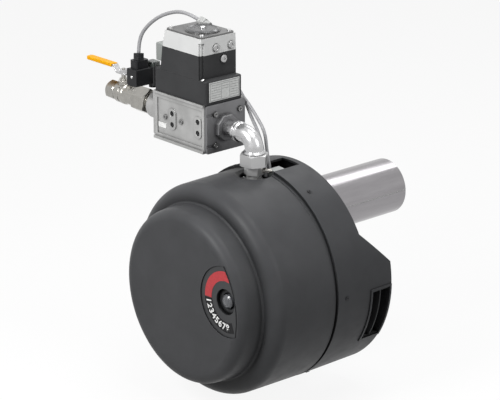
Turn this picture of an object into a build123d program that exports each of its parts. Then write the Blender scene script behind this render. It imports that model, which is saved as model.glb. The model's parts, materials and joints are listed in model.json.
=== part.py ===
from build123d import *
from math import cos, degrees, radians, sin, sqrt, tan
import os

# Gas burner. The flame tube lies along +Y (into the boiler); +Z is up; +X is the air-intake side.
# The origin lies on the flame tube's axis, in the plane of the intake box's rear face.

os.makedirs("parts", exist_ok=True)

# ---- clearances, mm ----
RUN = 0.05              # radial running clearance of a shaft in its bearing
SEAT = 0.3              # gap between neighbours that are seated but not fused
AIR = 1.0               # free gap round parts that pass through a wall

# ---- rear shell and air-intake box ----
SHELL_Z = -90.0         # height of the shell's axis
SHELL_R = 191.5
SHELL_WALL = 4.0
SHELL_DEPTH = 71.0
INTAKE_DEPTH = 55.0     # how far the intake box stands out behind the rear wall
INTAKE_INNER_X = 78.0
INTAKE_TOP = 30.0       # polar angle of the box's upper flank at the rear wall, degrees
INTAKE_TOP_REAR = 12.0  # the same at the box's rear face
INTAKE_LOW = -76.0
INTAKE_LOW_REAR = -60.0
WINDOW = (-46.0, -5.0)  # air opening along Y
WINDOW_ANGLES = (-1.0, -31.0)
FRAME_WIDTH = 4.0
FRAME_HEIGHT = 2.0
REAR_NOTCH = (-16.0, 28.0)
REAR_NOTCH_LENGTH = 60.0
SCREW_ANGLES = (0.0, 60.0, 120.0, 180.0, 240.0, 300.0)
SCREW_R = 2.0
SCREW_HEAD_R = 3.6

REAR_Y = -INTAKE_DEPTH
SEAM_Y = REAR_Y - SHELL_DEPTH
SHELL_IN = SHELL_R - SHELL_WALL

# ---- hood ----
HOOD_Z = -93.0
HOOD_R_SEAM = 188.5
HOOD_R_FRONT = 186.0
HOOD_DEPTH = 134.0
HOOD_WALL = 3.5
HOOD_EDGE = 25.0
SEAM_GAP = 4.0
LIP_LENGTH = 9.0
LIP_WALL = 3.0
LIP_CLEAR = 0.6
DOME_HEIGHT = 48.0
DOME_R = 151.5
DOME_DRAFT = 4.0
DOME_EDGE = 20.0
DOME_FOOT = 4.0
PIPE_SLOT_R = 25.0
DISH_R = 47.0
DISH_FOOT_Z = 89.0
DISH_TOP_Z = 101.0

HOOD_REAR_Y = SEAM_Y - SEAM_GAP
HOOD_FRONT_Y = HOOD_REAR_Y - HOOD_DEPTH
DOME_Y = HOOD_FRONT_Y - DOME_HEIGHT
LIP_R = SHELL_IN - LIP_CLEAR

# ---- reset button and its ring ----
RESET_X = 114.0
RESET_Z = -65.0
POCKET_R = 61.5
POCKET_DEPTH = 3.0
POCKET_FLOOR = 3.5
RING_THICK = 1.2
WELL_R = 22.5
WELL_DEPTH = 21.0
WELL_WALL = 3.0
BUTTON_R = 12.0
BUTTON_LENGTH = 14.0
BUTTON_TRAVEL = 4.0
STEM_R = 4.0
POCKET_Y = DOME_Y + POCKET_DEPTH

# ---- flame tube, base plate and mixing head ----
TUBE_R = 50.0
TUBE_WALL = 2.0
TUBE_OUT = 232.0        # visible length behind the rear wall
TUBE_FLANGE_R = 66.0
TUBE_FLANGE = 6.0
BASE_THICK = 6.0
BASE_RIM = 24.0
BASE_FRONT_Y = HOOD_REAR_Y + LIP_LENGTH + 3.0
BASE_BACK_Y = BASE_FRONT_Y + BASE_THICK
TUBE_END_Y = REAR_Y + TUBE_OUT
TUBE_IN = TUBE_R - TUBE_WALL
HOUSING_R = 58.0
HOUSING_WALL = 4.0
HOUSING_DEPTH = 68.0
HOUSING_LOW = 104.0
AIR_WINDOW = (-38.0, 38.0, -100.0, -70.0)
LANCE_R = 12.5
LANCE_WALL = 2.5
LANCE_END_Y = TUBE_END_Y - 62.0
DIFFUSER_GAP = 1.0
DIFFUSER_BLADES = 12
ELECTRODE_R = 1.5
CERAMIC_R = 5.0
PROBE_OFFSET = 26.0

# ---- fan and motor ----
FAN_Z = -172.0
WHEEL_R = 56.0
WHEEL_WIDTH = 28.0
BLADES = 24
EYE_R = 42.0
SCROLL_MIN = 66.0
SCROLL_GROWTH = 24.0
SCROLL_WALL = 3.0
SCROLL_DEPTH = 40.0
SHAFT_R = 6.0
MOTOR_R = 48.0
MOTOR_LENGTH = 94.0
MOTOR_FLANGE = 6.0
MOTOR_CAP = 14.0
CAPACITOR_R = 15.0

# ---- air damper ----
DAMPER_X = 112.0
DAMPER_Z = -180.0
DAMPER_HALF = 32.0
DAMPER_SHAFT_R = 4.0

# ---- gas column: union between the mixing head and the valve ----
GAS_Y = -146.0
CABLE_NOTCH = (-15.0, 6.0)
CABLE_NOTCH_Z = 68.0    # foot of the base plate's notch, clear of the tube's flange
GAS_Z = 160.0
PIPE_R = 15.5
PIPE_BORE = 11.0
HUB_START_X = -52.0
HUB_HEX_R = 16.5
NIPPLE_OUT_R = 13.0
NUT_CORNER_R = 25.5
NUT_Z = (109.0, 130.0)
TAIL_CORNER_R = 17.2
TAIL_Z = 93.0
NECK_R = 13.4
BOSS_TOP = 72.0
FLANGE_SIDE = 40.0
FLANGE_THICK = 8.0
FLANGE_TURN = 24.0      # direction of the flange's first corner from +X, degrees
FLANGE_SCREW_PCR = 19.5
NUT_TURN = -23.0        # where a hexagon's corner points, degrees from +X
TAIL_TURN = 8.0
NIPPLE_TURN = TAIL_TURN + 30.0
NIPPLE_SEAT_R = 4.9

# ---- gas valve ----
VALVE_X = (-214.0, -80.0)
VALVE_Y = (-190.0, -99.0)
SCREW_Y = (-169.0, -113.5)   # outlet flange's screws
SCREW_Z = (131.0, 186.5)
BOSS_FACE_X = -66.0     # front of the outlet flange's eight-sided boss
BOSS_FLATS = 45.0
PORT_R = 4.9            # test ports in the valve's front
VALVE_Z = (118.0, 205.0)
PLATE_THICK = 6.0
SKIRT_TOP = 247.0
BAND_Z = 289.0
COIL_TOP = 319.0
COIL_X = (-196.0, -88.0)
COIL_Y = (-189.5, -109.5)
SKIRT_X = (-212.0, -75.0)
SKIRT_Y = (-189.5, -107.5)
TOP_X = (-183.0, -87.0)
LID = 3.0
CAP_R = 28.5
BLANKING_R = 7.0
BLANKING_PLACES = ((-155.0, 299.5), (-121.0, 299.5), (-138.5, 277.5))   # (y, z)
PLUG_SEAT = 1.5
CAP_X = -128.0
CAP_Y = -150.0

# ---- inlet side ----
NIPPLE_R = 16.7
HUB_R = 25.0
HUB_X = -262.0
HEX_X = (-313.0, -276.0)
HEX_AF = 42.0
BALL_X = -356.0
INLET_X = -392.0
BALL_BODY_AF = 32.0
BALL_R = 13.0
INLET_R = 12.06         # Rp 3/4 thread, minor radius
INLET_DEPTH = 16.0
VALVE_STEM_R = 4.5
LEVER_Z = 196.0
LEVER_RISE = 10.5
LEVER_WIDTH = 12.0
LEVER_THICK = 3.0
LEVER_END = -458.0

# ---- plug and cables ----
OUTLET_X = -118.0       # side of the cable outlet box behind the magnet
PLUG_X = (-293.0, -266.0)
PLUG_Y = (-188.0, -150.5)
PLUG_Z = (197.0, 228.0)
SWITCH_X = (-291.0, -264.0)
SWITCH_Y = (PLUG_Y[1], PLUG_Y[1] + 20.0)
CABLE_R = 3.3
WIRE_R = 3.0

# hand-laid routes of the three free cables, mm
SIGNAL_ROUTE = [
    (-282.0, -169.0, 254.0),
    (-286.5, -164.5, 280.0),
    (-271.0, -154.0, 307.0),
    (-239.0, -144.0, 330.0),
    (-195.0, -132.5, 341.0),
    (-166.0, -125.0, 328.0),
]
VALVE_ROUTE_A = [
    (-112.0, -88.0, 214.0),
    (-94.0, -89.0, 205.0),
    (-71.0, -90.0, 168.7),
    (-44.6, -97.0, 148.7),
    (-17.4, -112.0, 133.2),
    (-7.0, -114.0, 104.0),
    (-5.0, -113.5, 74.0),
]
VALVE_ROUTE_B = [
    (-112.0, -99.0, 222.0),
    (-82.9, -94.0, 200.6),
    (-54.7, -92.0, 173.1),
    (-29.4, -94.0, 150.2),
    (-15.8, -102.0, 119.7),
    (-7.0, -104.0, 98.0),
    (-5.0, -103.5, 74.0),
]


# ---- shape helpers ----
def rod(radius, start, end):
    """A cylinder between two points."""
    a = Vector(*start)
    d = Vector(*end) - a
    return Solid.make_cylinder(radius, d.length, Plane(origin=a, z_dir=d.normalized()))


def tube(outer, inner, start, end):
    return rod(outer, start, end) - rod(inner, start, end)


def block(x, y, z):
    """A box between two values on each axis."""
    size = (abs(x[1] - x[0]), abs(y[1] - y[0]), abs(z[1] - z[0]))
    return Pos(sum(x) / 2, sum(y) / 2, sum(z) / 2) * Box(*size)


def prism(corner_r, sides, start, end, turn=0.0):
    """A regular prism between two points, with one corner turned from the local X axis."""
    a = Vector(*start)
    d = Vector(*end) - a
    along = d.normalized()
    side = Vector(1, 0, 0) if abs(along.X) < 0.9 else Vector(0, 1, 0)
    sketch = Plane(origin=a, x_dir=side, z_dir=along) * RegularPolygon(corner_r, sides, rotation=turn - 90)
    return extrude(sketch, d.length)


def turned(profile, origin, along):
    """Revolve a closed (radius, height) outline round an axis through origin."""
    axis = Vector(*along)
    out = Vector(0, 0, 1) if abs(axis.Z) < 0.9 else Vector(1, 0, 0)
    plane = Plane(origin=Vector(*origin), x_dir=out, z_dir=out.cross(axis))
    face = make_face(Polyline(*profile, close=True))
    return revolve(plane * face, Axis(origin, along))


def around(part, count, origin, along, first=0.0):
    """Copies of a part spaced evenly round an axis, as a list."""
    axis = Axis(origin, along)
    return [part.rotate(axis, first + 360.0 * i / count) for i in range(count)]


def polar(radius, angle, z=0.0):
    """A point in the XZ plane at an angle from +X towards +Z, round height z."""
    return radius * cos(radians(angle)), z + radius * sin(radians(angle))


def upright(radius, x, y, z0, z1):
    return rod(radius, (x, y, z0), (x, y, z1))


def lengthwise(radius, x, z, y0, y1):
    return rod(radius, (x, y0, z), (x, y1, z))


def crosswise(radius, y, z, x0, x1):
    return rod(radius, (x0, y, z), (x1, y, z))


def cable(points, radius):
    """A round cable along straight runs joined by tangent arcs."""
    pts = [Vector(*p) for p in points]
    bends = []
    for a, b, c in zip(pts, pts[1:], pts[2:]):
        turn = (b - a).get_angle(c - b)
        bends.append(0.45 * min((b - a).length, (c - b).length) / tan(radians(turn / 2)))
    print("bend radii", [round(r, 1) for r in bends])
    path = FilletPolyline(*pts, radius=bends)
    start = Plane(origin=path @ 0, z_dir=path % 0)
    return sweep(start * Circle(radius), path=path)


def joined(parts):
    """One solid or group from a list of shapes."""
    result = parts[0]
    for part in parts[1:]:
        result = result + part
    return result


def group(parts):
    return Compound(children=[p.solid() if hasattr(p, "solid") and p.solid() else p for p in parts])


# ---- rear shell with its intake box ----
def intake_segment(inset):
    """The intake box's body, inset from its outer faces by a wall thickness."""
    radius = SHELL_R - inset
    x0 = INTAKE_INNER_X + inset
    outline = Pos(0, 0) * Circle(radius)
    back = -inset
    front = REAR_Y - SHELL_WALL - 1.0
    disc = extrude(Plane(origin=(0, back, SHELL_Z), x_dir=(1, 0, 0), z_dir=(0, -1, 0)) * outline, back - front)
    disc = disc & block((x0, SHELL_R + 1), (front, back), (SHELL_Z - SHELL_R, SHELL_Z + SHELL_R))
    top = polar(SHELL_R, INTAKE_TOP, SHELL_Z)[1]
    top_rear = polar(SHELL_R, INTAKE_TOP_REAR, SHELL_Z)[1]
    low = polar(SHELL_R, INTAKE_LOW, SHELL_Z)[1]
    low_rear = polar(SHELL_R, INTAKE_LOW_REAR, SHELL_Z)[1]
    slope_top = (top_rear - top) / INTAKE_DEPTH
    slope_low = (low_rear - low) / INTAKE_DEPTH
    side = [
        (front, top + slope_top * (front - REAR_Y) - inset),
        (0.0, top_rear - inset),
        (0.0, low_rear + inset),
        (front, low + slope_low * (front - REAR_Y) + inset),
    ]
    flank = make_face(Polyline(*side, close=True))
    wedge = extrude(Plane(origin=(0, 0, 0), x_dir=(0, 1, 0), z_dir=(1, 0, 0)) * flank, SHELL_R + 1)
    return disc & wedge


def window_cutter(grow):
    z1 = polar(SHELL_R, WINDOW_ANGLES[0], SHELL_Z)[1] + grow
    z0 = polar(SHELL_R, WINDOW_ANGLES[1], SHELL_Z)[1] - grow
    return block((SHELL_R * 0.75, SHELL_R + 10), (WINDOW[0] - grow, WINDOW[1] + grow), (z0, z1))


def rear_shell():
    drum = lengthwise(SHELL_R, 0, SHELL_Z, SEAM_Y, REAR_Y)
    body = drum + intake_segment(0.0)
    frame = tube(SHELL_R + FRAME_HEIGHT, SHELL_R - SHELL_WALL, (0, WINDOW[0] - FRAME_WIDTH, SHELL_Z), (0, 0, SHELL_Z))
    body = body + (frame & window_cutter(FRAME_WIDTH))
    body = body - lengthwise(SHELL_IN, 0, SHELL_Z, SEAM_Y, REAR_Y - SHELL_WALL)
    body = body - intake_segment(SHELL_WALL)
    body = body - window_cutter(0.0)
    body = body - lengthwise(TUBE_R + AIR, 0, 0, REAR_Y - SHELL_WALL - 1, REAR_Y + 1)
    notch = block(REAR_NOTCH, (SEAM_Y - 1, SEAM_Y + REAR_NOTCH_LENGTH), (SHELL_Z + SHELL_R * 0.9, SHELL_Z + SHELL_R + 1))
    body = body - notch
    for angle in SCREW_ANGLES:
        body = body - radial_rod(SCREW_R + 0.3, angle, SHELL_IN - 2, SHELL_R + 1)
    return body


def radial_rod(radius, angle, r0, r1, y=None):
    """A rod pointing out of the shell's axis at an angle."""
    y = screw_y() if y is None else y
    x0, z0 = polar(r0, angle, SHELL_Z)
    x1, z1 = polar(r1, angle, SHELL_Z)
    return rod(radius, (x0, y, z0), (x1, y, z1))


def screw_y():
    return BASE_BACK_Y + BASE_RIM / 4


def shell_screws():
    """Countersunk-looking cap screws that hold the shell to the base plate's rim."""
    screws = []
    for angle in SCREW_ANGLES:
        shank = radial_rod(SCREW_R, angle, SHELL_IN - 5, SHELL_R)
        head = radial_rod(SCREW_HEAD_R, angle, SHELL_R, SHELL_R + 1.2)
        socket = radial_rod(1.4, angle, SHELL_R, SHELL_R + 2)
        screws.append(shank + head - socket)
    return group(screws)


def intake_grille():
    """The insert behind the air opening: a bowed vane across it and two end cheeks."""
    mid = sum(WINDOW) / 2
    z1 = polar(SHELL_R, WINDOW_ANGLES[0], SHELL_Z)[1] - SEAT
    z0 = polar(SHELL_R, WINDOW_ANGLES[1], SHELL_Z)[1] + SEAT
    band = tube(SHELL_R - 1, SHELL_IN - 14, (0, mid - 1.2, SHELL_Z), (0, mid + 1.2, SHELL_Z))
    cheeks = tube(SHELL_R - 1, SHELL_IN - 14, (0, WINDOW[0] + SEAT, SHELL_Z), (0, WINDOW[1] - SEAT, SHELL_Z))
    x = (SHELL_R * 0.7, SHELL_R)
    y = (WINDOW[0], WINDOW[1])
    vane = band & block(x, y, (z0, z1))
    upper = cheeks & block(x, y, (z1 - 2.5, z1))
    lower = cheeks & block(x, y, (z0, z0 + 2.5))
    return vane + upper + lower


# ---- hood ----
def hood_profile(inset):
    """Half outline of the hood's drum and dome, as (radius, y), inset by the wall."""
    flare = (HOOD_R_SEAM - HOOD_R_FRONT) / HOOD_DEPTH
    rear = HOOD_REAR_Y
    front = HOOD_FRONT_Y + inset
    top = DOME_Y + inset
    r_front = HOOD_R_FRONT - inset + flare * inset
    points = [(0, rear), (HOOD_R_SEAM - inset, rear), (r_front, front), (DOME_R + DOME_DRAFT - inset, front),
              (DOME_R - inset, top), (0, top)]
    face = make_face(Polyline(*points, close=True))
    rounds = ((r_front, front, HOOD_EDGE - inset), (DOME_R + DOME_DRAFT - inset, front, DOME_FOOT + inset),
              (DOME_R - inset, top, DOME_EDGE - inset))
    for radius, y, round_r in rounds:
        corner = face.vertices().sort_by_distance((radius, y, 0))[0]
        face = fillet(corner, round_r)
    return face


def hood_solid(inset):
    plane = Plane(origin=(0, 0, HOOD_Z), x_dir=(1, 0, 0), z_dir=(0, 0, 1))
    return revolve(plane * hood_profile(inset), Axis((0, 0, HOOD_Z), (0, 1, 0)))


def hood_dish(offset):
    """The dished recess round the gas pipe, as a cone standing on the pipe's axis."""
    low = DISH_FOOT_Z - offset
    cone = [(0, low), (PIPE_SLOT_R + offset, low), (DISH_R + offset, DISH_TOP_Z), (0, DISH_TOP_Z)]
    return turned(cone, (0, GAS_Y, 0), (0, 0, 1))


def pipe_slot():
    """Room for the gas pipe: a slot open towards the seam."""
    z = (HOOD_Z + HOOD_R_SEAM * 0.8, HOOD_Z + HOOD_R_SEAM + 12)
    straight = block((-PIPE_SLOT_R, PIPE_SLOT_R), (GAS_Y, HOOD_REAR_Y + LIP_LENGTH + 1), z)
    return straight + upright(PIPE_SLOT_R, 0, GAS_Y, *z)


def hood():
    outer = hood_solid(0.0)
    body = outer - hood_solid(HOOD_WALL)
    flange_y = HOOD_REAR_Y - 2.5
    step = lengthwise(HOOD_R_SEAM, 0, HOOD_Z, flange_y, HOOD_REAR_Y)
    step = step - lengthwise(LIP_R - LIP_WALL - 3.0, 0, SHELL_Z, flange_y, HOOD_REAR_Y)
    lip = tube(LIP_R, LIP_R - LIP_WALL, (0, flange_y, SHELL_Z), (0, HOOD_REAR_Y + LIP_LENGTH, SHELL_Z))
    body = body + step + lip
    dish_wall = hood_dish(HOOD_WALL) & hood_solid(0.5)
    body = body + dish_wall - hood_dish(0.0)
    body = body - pipe_slot()
    pad = lengthwise(POCKET_R + 3, RESET_X, RESET_Z, POCKET_Y, POCKET_Y + POCKET_FLOOR)
    well_end = POCKET_Y + WELL_DEPTH
    well = lengthwise(WELL_R + WELL_WALL, RESET_X, RESET_Z, POCKET_Y, well_end + WELL_WALL)
    guide = lengthwise(STEM_R * 2, RESET_X, RESET_Z, well_end, well_end + 12)
    body = body + ((pad + well) & outer) + guide
    body = body - lengthwise(POCKET_R, RESET_X, RESET_Z, DOME_Y - 1, POCKET_Y)
    body = body - lengthwise(WELL_R, RESET_X, RESET_Z, DOME_Y - 1, well_end)
    body = body - lengthwise(STEM_R + RUN, RESET_X, RESET_Z, DOME_Y, well_end + 20)
    return body


def reset_ring():
    """The flat ring round the reset button, trimmed where the dome's edge falls away."""
    y0 = POCKET_Y - RING_THICK
    disc = lengthwise(POCKET_R - SEAT, RESET_X, RESET_Z, y0, POCKET_Y)
    ring = disc - lengthwise(WELL_R, RESET_X, RESET_Z, y0 - 1, POCKET_Y + 1)
    drop = DOME_EDGE - POCKET_DEPTH + RING_THICK
    edge_r = DOME_R - DOME_EDGE + sqrt(DOME_EDGE ** 2 - drop ** 2)
    return ring & lengthwise(edge_r, 0, HOOD_Z, y0 - 1, POCKET_Y + 1)


def reset_button():
    """A domed push button on a long stem that reaches the control unit's key."""
    front = POCKET_Y
    cap = [(0, front), (BUTTON_R - 3, front), (BUTTON_R, front + 3), (BUTTON_R, front + BUTTON_LENGTH),
           (BUTTON_R - 2, front + BUTTON_LENGTH), (0, front + BUTTON_LENGTH)]
    head = turned(cap, (RESET_X, 0, RESET_Z), (0, 1, 0))
    return head + lengthwise(STEM_R, RESET_X, RESET_Z, front + 2, key_y() - BUTTON_TRAVEL - AIR)


def key_y():
    """Front of the control unit's own key."""
    return BASE_FRONT_Y - 101.0


# ---- base plate and combustion head ----
def base_plate():
    """Cast plate that carries everything, with a turned-back rim for the shell's screws."""
    rim_r = SHELL_IN - SEAT
    plate = lengthwise(rim_r, 0, SHELL_Z, BASE_FRONT_Y, BASE_BACK_Y)
    plate = plate + tube(rim_r, rim_r - 5, (0, BASE_BACK_Y, SHELL_Z), (0, BASE_FRONT_Y + BASE_RIM, SHELL_Z))
    plate = plate - lengthwise(TUBE_IN, 0, 0, BASE_FRONT_Y - 1, BASE_BACK_Y + 1)
    x0, x1, z0, z1 = AIR_WINDOW
    plate = plate - block((x0, x1), (BASE_FRONT_Y - 1, BASE_BACK_Y + 1), (z0, z1))
    plate = plate - lengthwise(SHAFT_R + AIR, 0, FAN_Z, BASE_FRONT_Y - 1, BASE_BACK_Y + 1)
    plate = plate - lengthwise(DAMPER_SHAFT_R + RUN, DAMPER_X, DAMPER_Z, BASE_FRONT_Y - 1, BASE_BACK_Y + 1)
    top = SHELL_Z + SHELL_R
    plate = plate - block(CABLE_NOTCH, (BASE_FRONT_Y - 1, BASE_BACK_Y + BASE_RIM), (CABLE_NOTCH_Z, top))
    for angle in SCREW_ANGLES:
        plate = plate - radial_rod(SCREW_R + 0.1, angle, rim_r - 8, rim_r + 1)
    return plate


def cable_grommet():
    """Rubber block in the base plate's notch that takes the two valve cables."""
    y = (BASE_FRONT_Y + SEAT, BASE_BACK_Y + 13)
    body = block((CABLE_NOTCH[0] + SEAT, CABLE_NOTCH[1] - SEAT), y, (CABLE_NOTCH_Z, CABLE_NOTCH_Z + 12))
    for route in (VALVE_ROUTE_A, VALVE_ROUTE_B):
        x, y_end, z_end = route[-1]
        body = body - upright(WIRE_R + 0.6, x, y_end, z_end, CABLE_NOTCH_Z + 13)
    return body


def flame_tube():
    """Burner tube with the flange that bolts it to the base plate."""
    flange_end = BASE_BACK_Y + TUBE_FLANGE
    body = tube(TUBE_R, TUBE_IN, (0, BASE_BACK_Y, 0), (0, TUBE_END_Y, 0))
    flange = tube(TUBE_FLANGE_R, TUBE_IN, (0, BASE_BACK_Y, 0), (0, flange_end, 0))
    holes = around(lengthwise(3.3, TUBE_FLANGE_R - 8, 0, BASE_BACK_Y - 1, flange_end + 1), 4, (0, 0, 0), (0, 1, 0), 45)
    return body + flange - joined(holes)


def plate_bolts():
    """The four bolts of the flame tube's flange and the four of the motor's."""
    bolts = []
    y = BASE_BACK_Y + TUBE_FLANGE
    y1 = BASE_FRONT_Y - MOTOR_FLANGE
    for i in range(4):
        x, z = polar(TUBE_FLANGE_R - 8, 45 + 90 * i)
        bolts.append(prism(5.5, 6, (x, y, z), (x, y + 5, z)) + lengthwise(3.0, x, z, BASE_BACK_Y, y))
        x, z = polar(MOTOR_R + 5, 45 + 90 * i, FAN_Z)
        bolts.append(prism(5.2, 6, (x, y1, z), (x, y1 - 5, z)) + lengthwise(3.0, x, z, y1, BASE_FRONT_Y))
    return group(bolts)


def obround(inset):
    """Section of the mixing housing: round over the flame tube, square-footed over the air window."""
    radius = HOUSING_R - inset
    low = HOUSING_LOW - inset
    foot = Pos(0, -low / 2) * Rectangle(2 * radius, low)
    return Circle(radius) + foot


def mixing_housing():
    front = Plane(origin=(0, BASE_FRONT_Y, 0), x_dir=(1, 0, 0), z_dir=(0, -1, 0))
    body = extrude(front * obround(0), HOUSING_DEPTH)
    body = fillet(body.faces().sort_by(Axis.Y)[0].edges(), 6)
    boss = upright(PIPE_R + 6, 0, GAS_Y, 0, BOSS_TOP - FLANGE_THICK)
    top = square_flange(BOSS_TOP - FLANGE_THICK, BOSS_TOP)
    body = body + boss + top
    body = body - extrude(front * obround(HOUSING_WALL), HOUSING_DEPTH - HOUSING_WALL)
    return body - upright(LANCE_R + SEAT, 0, GAS_Y, 0, BOSS_TOP + 1)


def square_flange(z0, z1):
    """Square with rounded corners on the gas pipe's axis."""
    outline = RectangleRounded(FLANGE_SIDE, FLANGE_SIDE, 6, rotation=FLANGE_TURN - 45)
    return extrude(Plane(origin=(0, GAS_Y, z0)) * outline, z1 - z0)


def gas_flange():
    """Flange screwed on the housing's boss; the union's tail screws into it."""
    z0 = BOSS_TOP
    z1 = BOSS_TOP + FLANGE_THICK
    body = square_flange(z0, z1) - upright(NECK_R, 0, GAS_Y, z0 - 1, z1 + 1)
    for x, y in flange_screw_places():
        body = body - upright(2.6, x, y, z0 - 1, z1 + 1)
    return body


def flange_screw_places():
    turns = [radians(FLANGE_TURN + 90 * i) for i in range(4)]
    return [(FLANGE_SCREW_PCR * cos(t), GAS_Y + FLANGE_SCREW_PCR * sin(t)) for t in turns]


def flange_screws():
    z1 = BOSS_TOP + FLANGE_THICK
    screws = []
    for x, y in flange_screw_places():
        head = upright(3.6, x, y, z1, z1 + 4) - prism(2.2, 6, (x, y, z1 + 2), (x, y, z1 + 6))
        screws.append(head + upright(2.4, x, y, BOSS_TOP, z1))
    return group(screws)


def gas_lance():
    """Gas pipe from the boss down into the head and forward to the nozzle."""
    corner = Pos(0, GAS_Y, 0) * Sphere(LANCE_R)
    outer = upright(LANCE_R, 0, GAS_Y, 0, BOSS_TOP) + corner + lengthwise(LANCE_R, 0, 0, GAS_Y, LANCE_END_Y)
    head = turned([(0, LANCE_END_Y - 20), (LANCE_R, LANCE_END_Y - 20), (17, LANCE_END_Y - 10),
                   (17, LANCE_END_Y + 4), (13, LANCE_END_Y + 4), (13, LANCE_END_Y + 8), (0, LANCE_END_Y + 8)],
                  (0, 0, 0), (0, 1, 0))
    bore = LANCE_R - LANCE_WALL
    inner = upright(bore, 0, GAS_Y, 0, BOSS_TOP + 1) + Pos(0, GAS_Y, 0) * Sphere(bore)
    inner = inner + lengthwise(bore, 0, 0, GAS_Y, LANCE_END_Y + 4)
    port = rod(2.0, (8, LANCE_END_Y - 2, 0), (20, LANCE_END_Y + 1, 0))
    return outer + head - inner - joined(around(port, 8, (0, 0, 0), (0, 1, 0)))


def diffuser():
    """Dished flame disc with twisted slots, held on the lance's head."""
    y = LANCE_END_Y + 4
    rim = TUBE_IN - DIFFUSER_GAP
    cup = [(13.3, y), (rim - 6, y), (rim, y + 8), (rim, y + 10), (rim - 1.6, y + 10), (rim - 7, y + 1.6), (13.3, y + 1.6)]
    body = turned(cup, (0, 0, 0), (0, 1, 0))
    slot = Pos(28, y + 1, 0) * Box(17, 6, 2.6)
    half_pitch = 180.0 / DIFFUSER_BLADES
    body = body - joined(around(slot, DIFFUSER_BLADES, (0, 0, 0), (0, 1, 0), half_pitch))
    blade = Pos(28, y + 3, 1.6) * Rot(35, 0, 0) * Box(17, 5, 1.2)
    body = body + joined(around(blade, DIFFUSER_BLADES, (0, 0, 0), (0, 1, 0), half_pitch))
    for x in (-PROBE_OFFSET, PROBE_OFFSET):
        body = body - lengthwise(ELECTRODE_R + AIR, x, 0, y - 1, y + 3)
    return body


def lance_spider():
    """Collar that centres the lance in the flame tube on two legs and clamps both probes beside it."""
    y = (LANCE_END_Y - 36, LANCE_END_Y - 24)
    arm = PROBE_OFFSET + CERAMIC_R + 3
    body = block((-arm, arm), y, (-CERAMIC_R - 3, CERAMIC_R + 3)) + lengthwise(LANCE_R + 4, 0, 0, *y)
    body = body + block((-1.5, 1.5), y, (-TUBE_IN + SEAT, TUBE_IN - SEAT))
    for x in (-PROBE_OFFSET, PROBE_OFFSET):
        body = body - lengthwise(CERAMIC_R + RUN, x, 0, y[0] - 1, y[1] + 1)
    return body - lengthwise(LANCE_R + RUN, 0, 0, y[0] - 1, y[1] + 1)


def probe(angle, tip):
    """A rod in a ceramic sleeve beside the lance, with its holder."""
    x, z = polar(PROBE_OFFSET, angle)
    y0 = LANCE_END_Y - 42
    y1 = LANCE_END_Y + 2
    ceramic = lengthwise(CERAMIC_R, x, z, y0, y1 - 2)
    wire = lengthwise(ELECTRODE_R, x, z, y1 - 2, y1 + tip) + lengthwise(ELECTRODE_R, x, z, y0 - 8, y0)
    return ceramic + wire


# ---- fan ----
def scroll_point(angle, inset):
    grow = SCROLL_GROWTH * (60 - angle) / 300
    return polar(SCROLL_MIN + grow - inset, angle, FAN_Z)


def scroll_face(inset):
    """Spiral section, from the tongue at the upper right round to the outlet at the top."""
    points = [scroll_point(a, inset) for a in range(60, -241, -30)]
    spiral = Spline(*points)
    x0, x1, z0, z1 = AIR_WINDOW
    start = points[0]
    top = z1 + SCROLL_WALL - inset
    right = x1 + SCROLL_WALL - inset
    left = x0 - SCROLL_WALL + inset
    outlet = Polyline(points[-1], (left, top), (right, top), start)
    return make_face([spiral, outlet])


def fan_volute():
    back = BASE_BACK_Y + SCROLL_DEPTH
    plane = Plane(origin=(0, BASE_BACK_Y, 0), x_dir=(1, 0, 0), z_dir=(0, -1, 0))
    outer = extrude(plane * scroll_face(0), -SCROLL_DEPTH)
    inner = extrude(plane * scroll_face(SCROLL_WALL), -(SCROLL_DEPTH - SCROLL_WALL))
    eye = lengthwise(EYE_R, 0, FAN_Z, back - 10, back + 1)
    lip = tube(EYE_R + 3, EYE_R, (0, back - 6, FAN_Z), (0, back, FAN_Z))
    return outer - inner - eye + lip


def wheel_blade(r0, r1):
    """One forward-curved blade, as an arc from the inner to the outer radius."""
    plane = Plane(origin=(0, 0, FAN_Z), x_dir=(1, 0, 0), z_dir=(0, -1, 0))
    arc = ThreePointArc((r0, 0), ((r0 + r1) / 2, 1.2), (r1, 5.0))
    back = ThreePointArc((r1, 6.4), ((r0 + r1) / 2, 2.4), (r0, 1.2))
    face = make_face([arc, Line(arc @ 1, back @ 0), back, Line(back @ 1, arc @ 0)])
    return plane * face


def wheel_front_y():
    return BASE_BACK_Y + 4.0


def fan_wheel():
    y0 = wheel_front_y()
    y1 = y0 + WHEEL_WIDTH
    disc = lengthwise(WHEEL_R, 0, FAN_Z, y0, y0 + 2) + lengthwise(13, 0, FAN_Z, y0, y0 + 18)
    ring = tube(WHEEL_R, WHEEL_R - 3, (0, y1 - 2, FAN_Z), (0, y1, FAN_Z))
    blade = extrude(wheel_blade(WHEEL_R - 13, WHEEL_R - 1.5), -(WHEEL_WIDTH - 1)).translate((0, y0 + 0.5, 0))
    blades = around(blade, BLADES, (0, 0, FAN_Z), (0, 1, 0))
    body = joined([disc, ring] + blades)
    return body - lengthwise(SHAFT_R, 0, FAN_Z, y0 - 1, y0 + 20)


def motor_rear_y():
    return BASE_FRONT_Y - MOTOR_FLANGE - MOTOR_LENGTH


def motor_shaft():
    return lengthwise(SHAFT_R, 0, FAN_Z, motor_rear_y() - 8, wheel_front_y() + 17)


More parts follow.
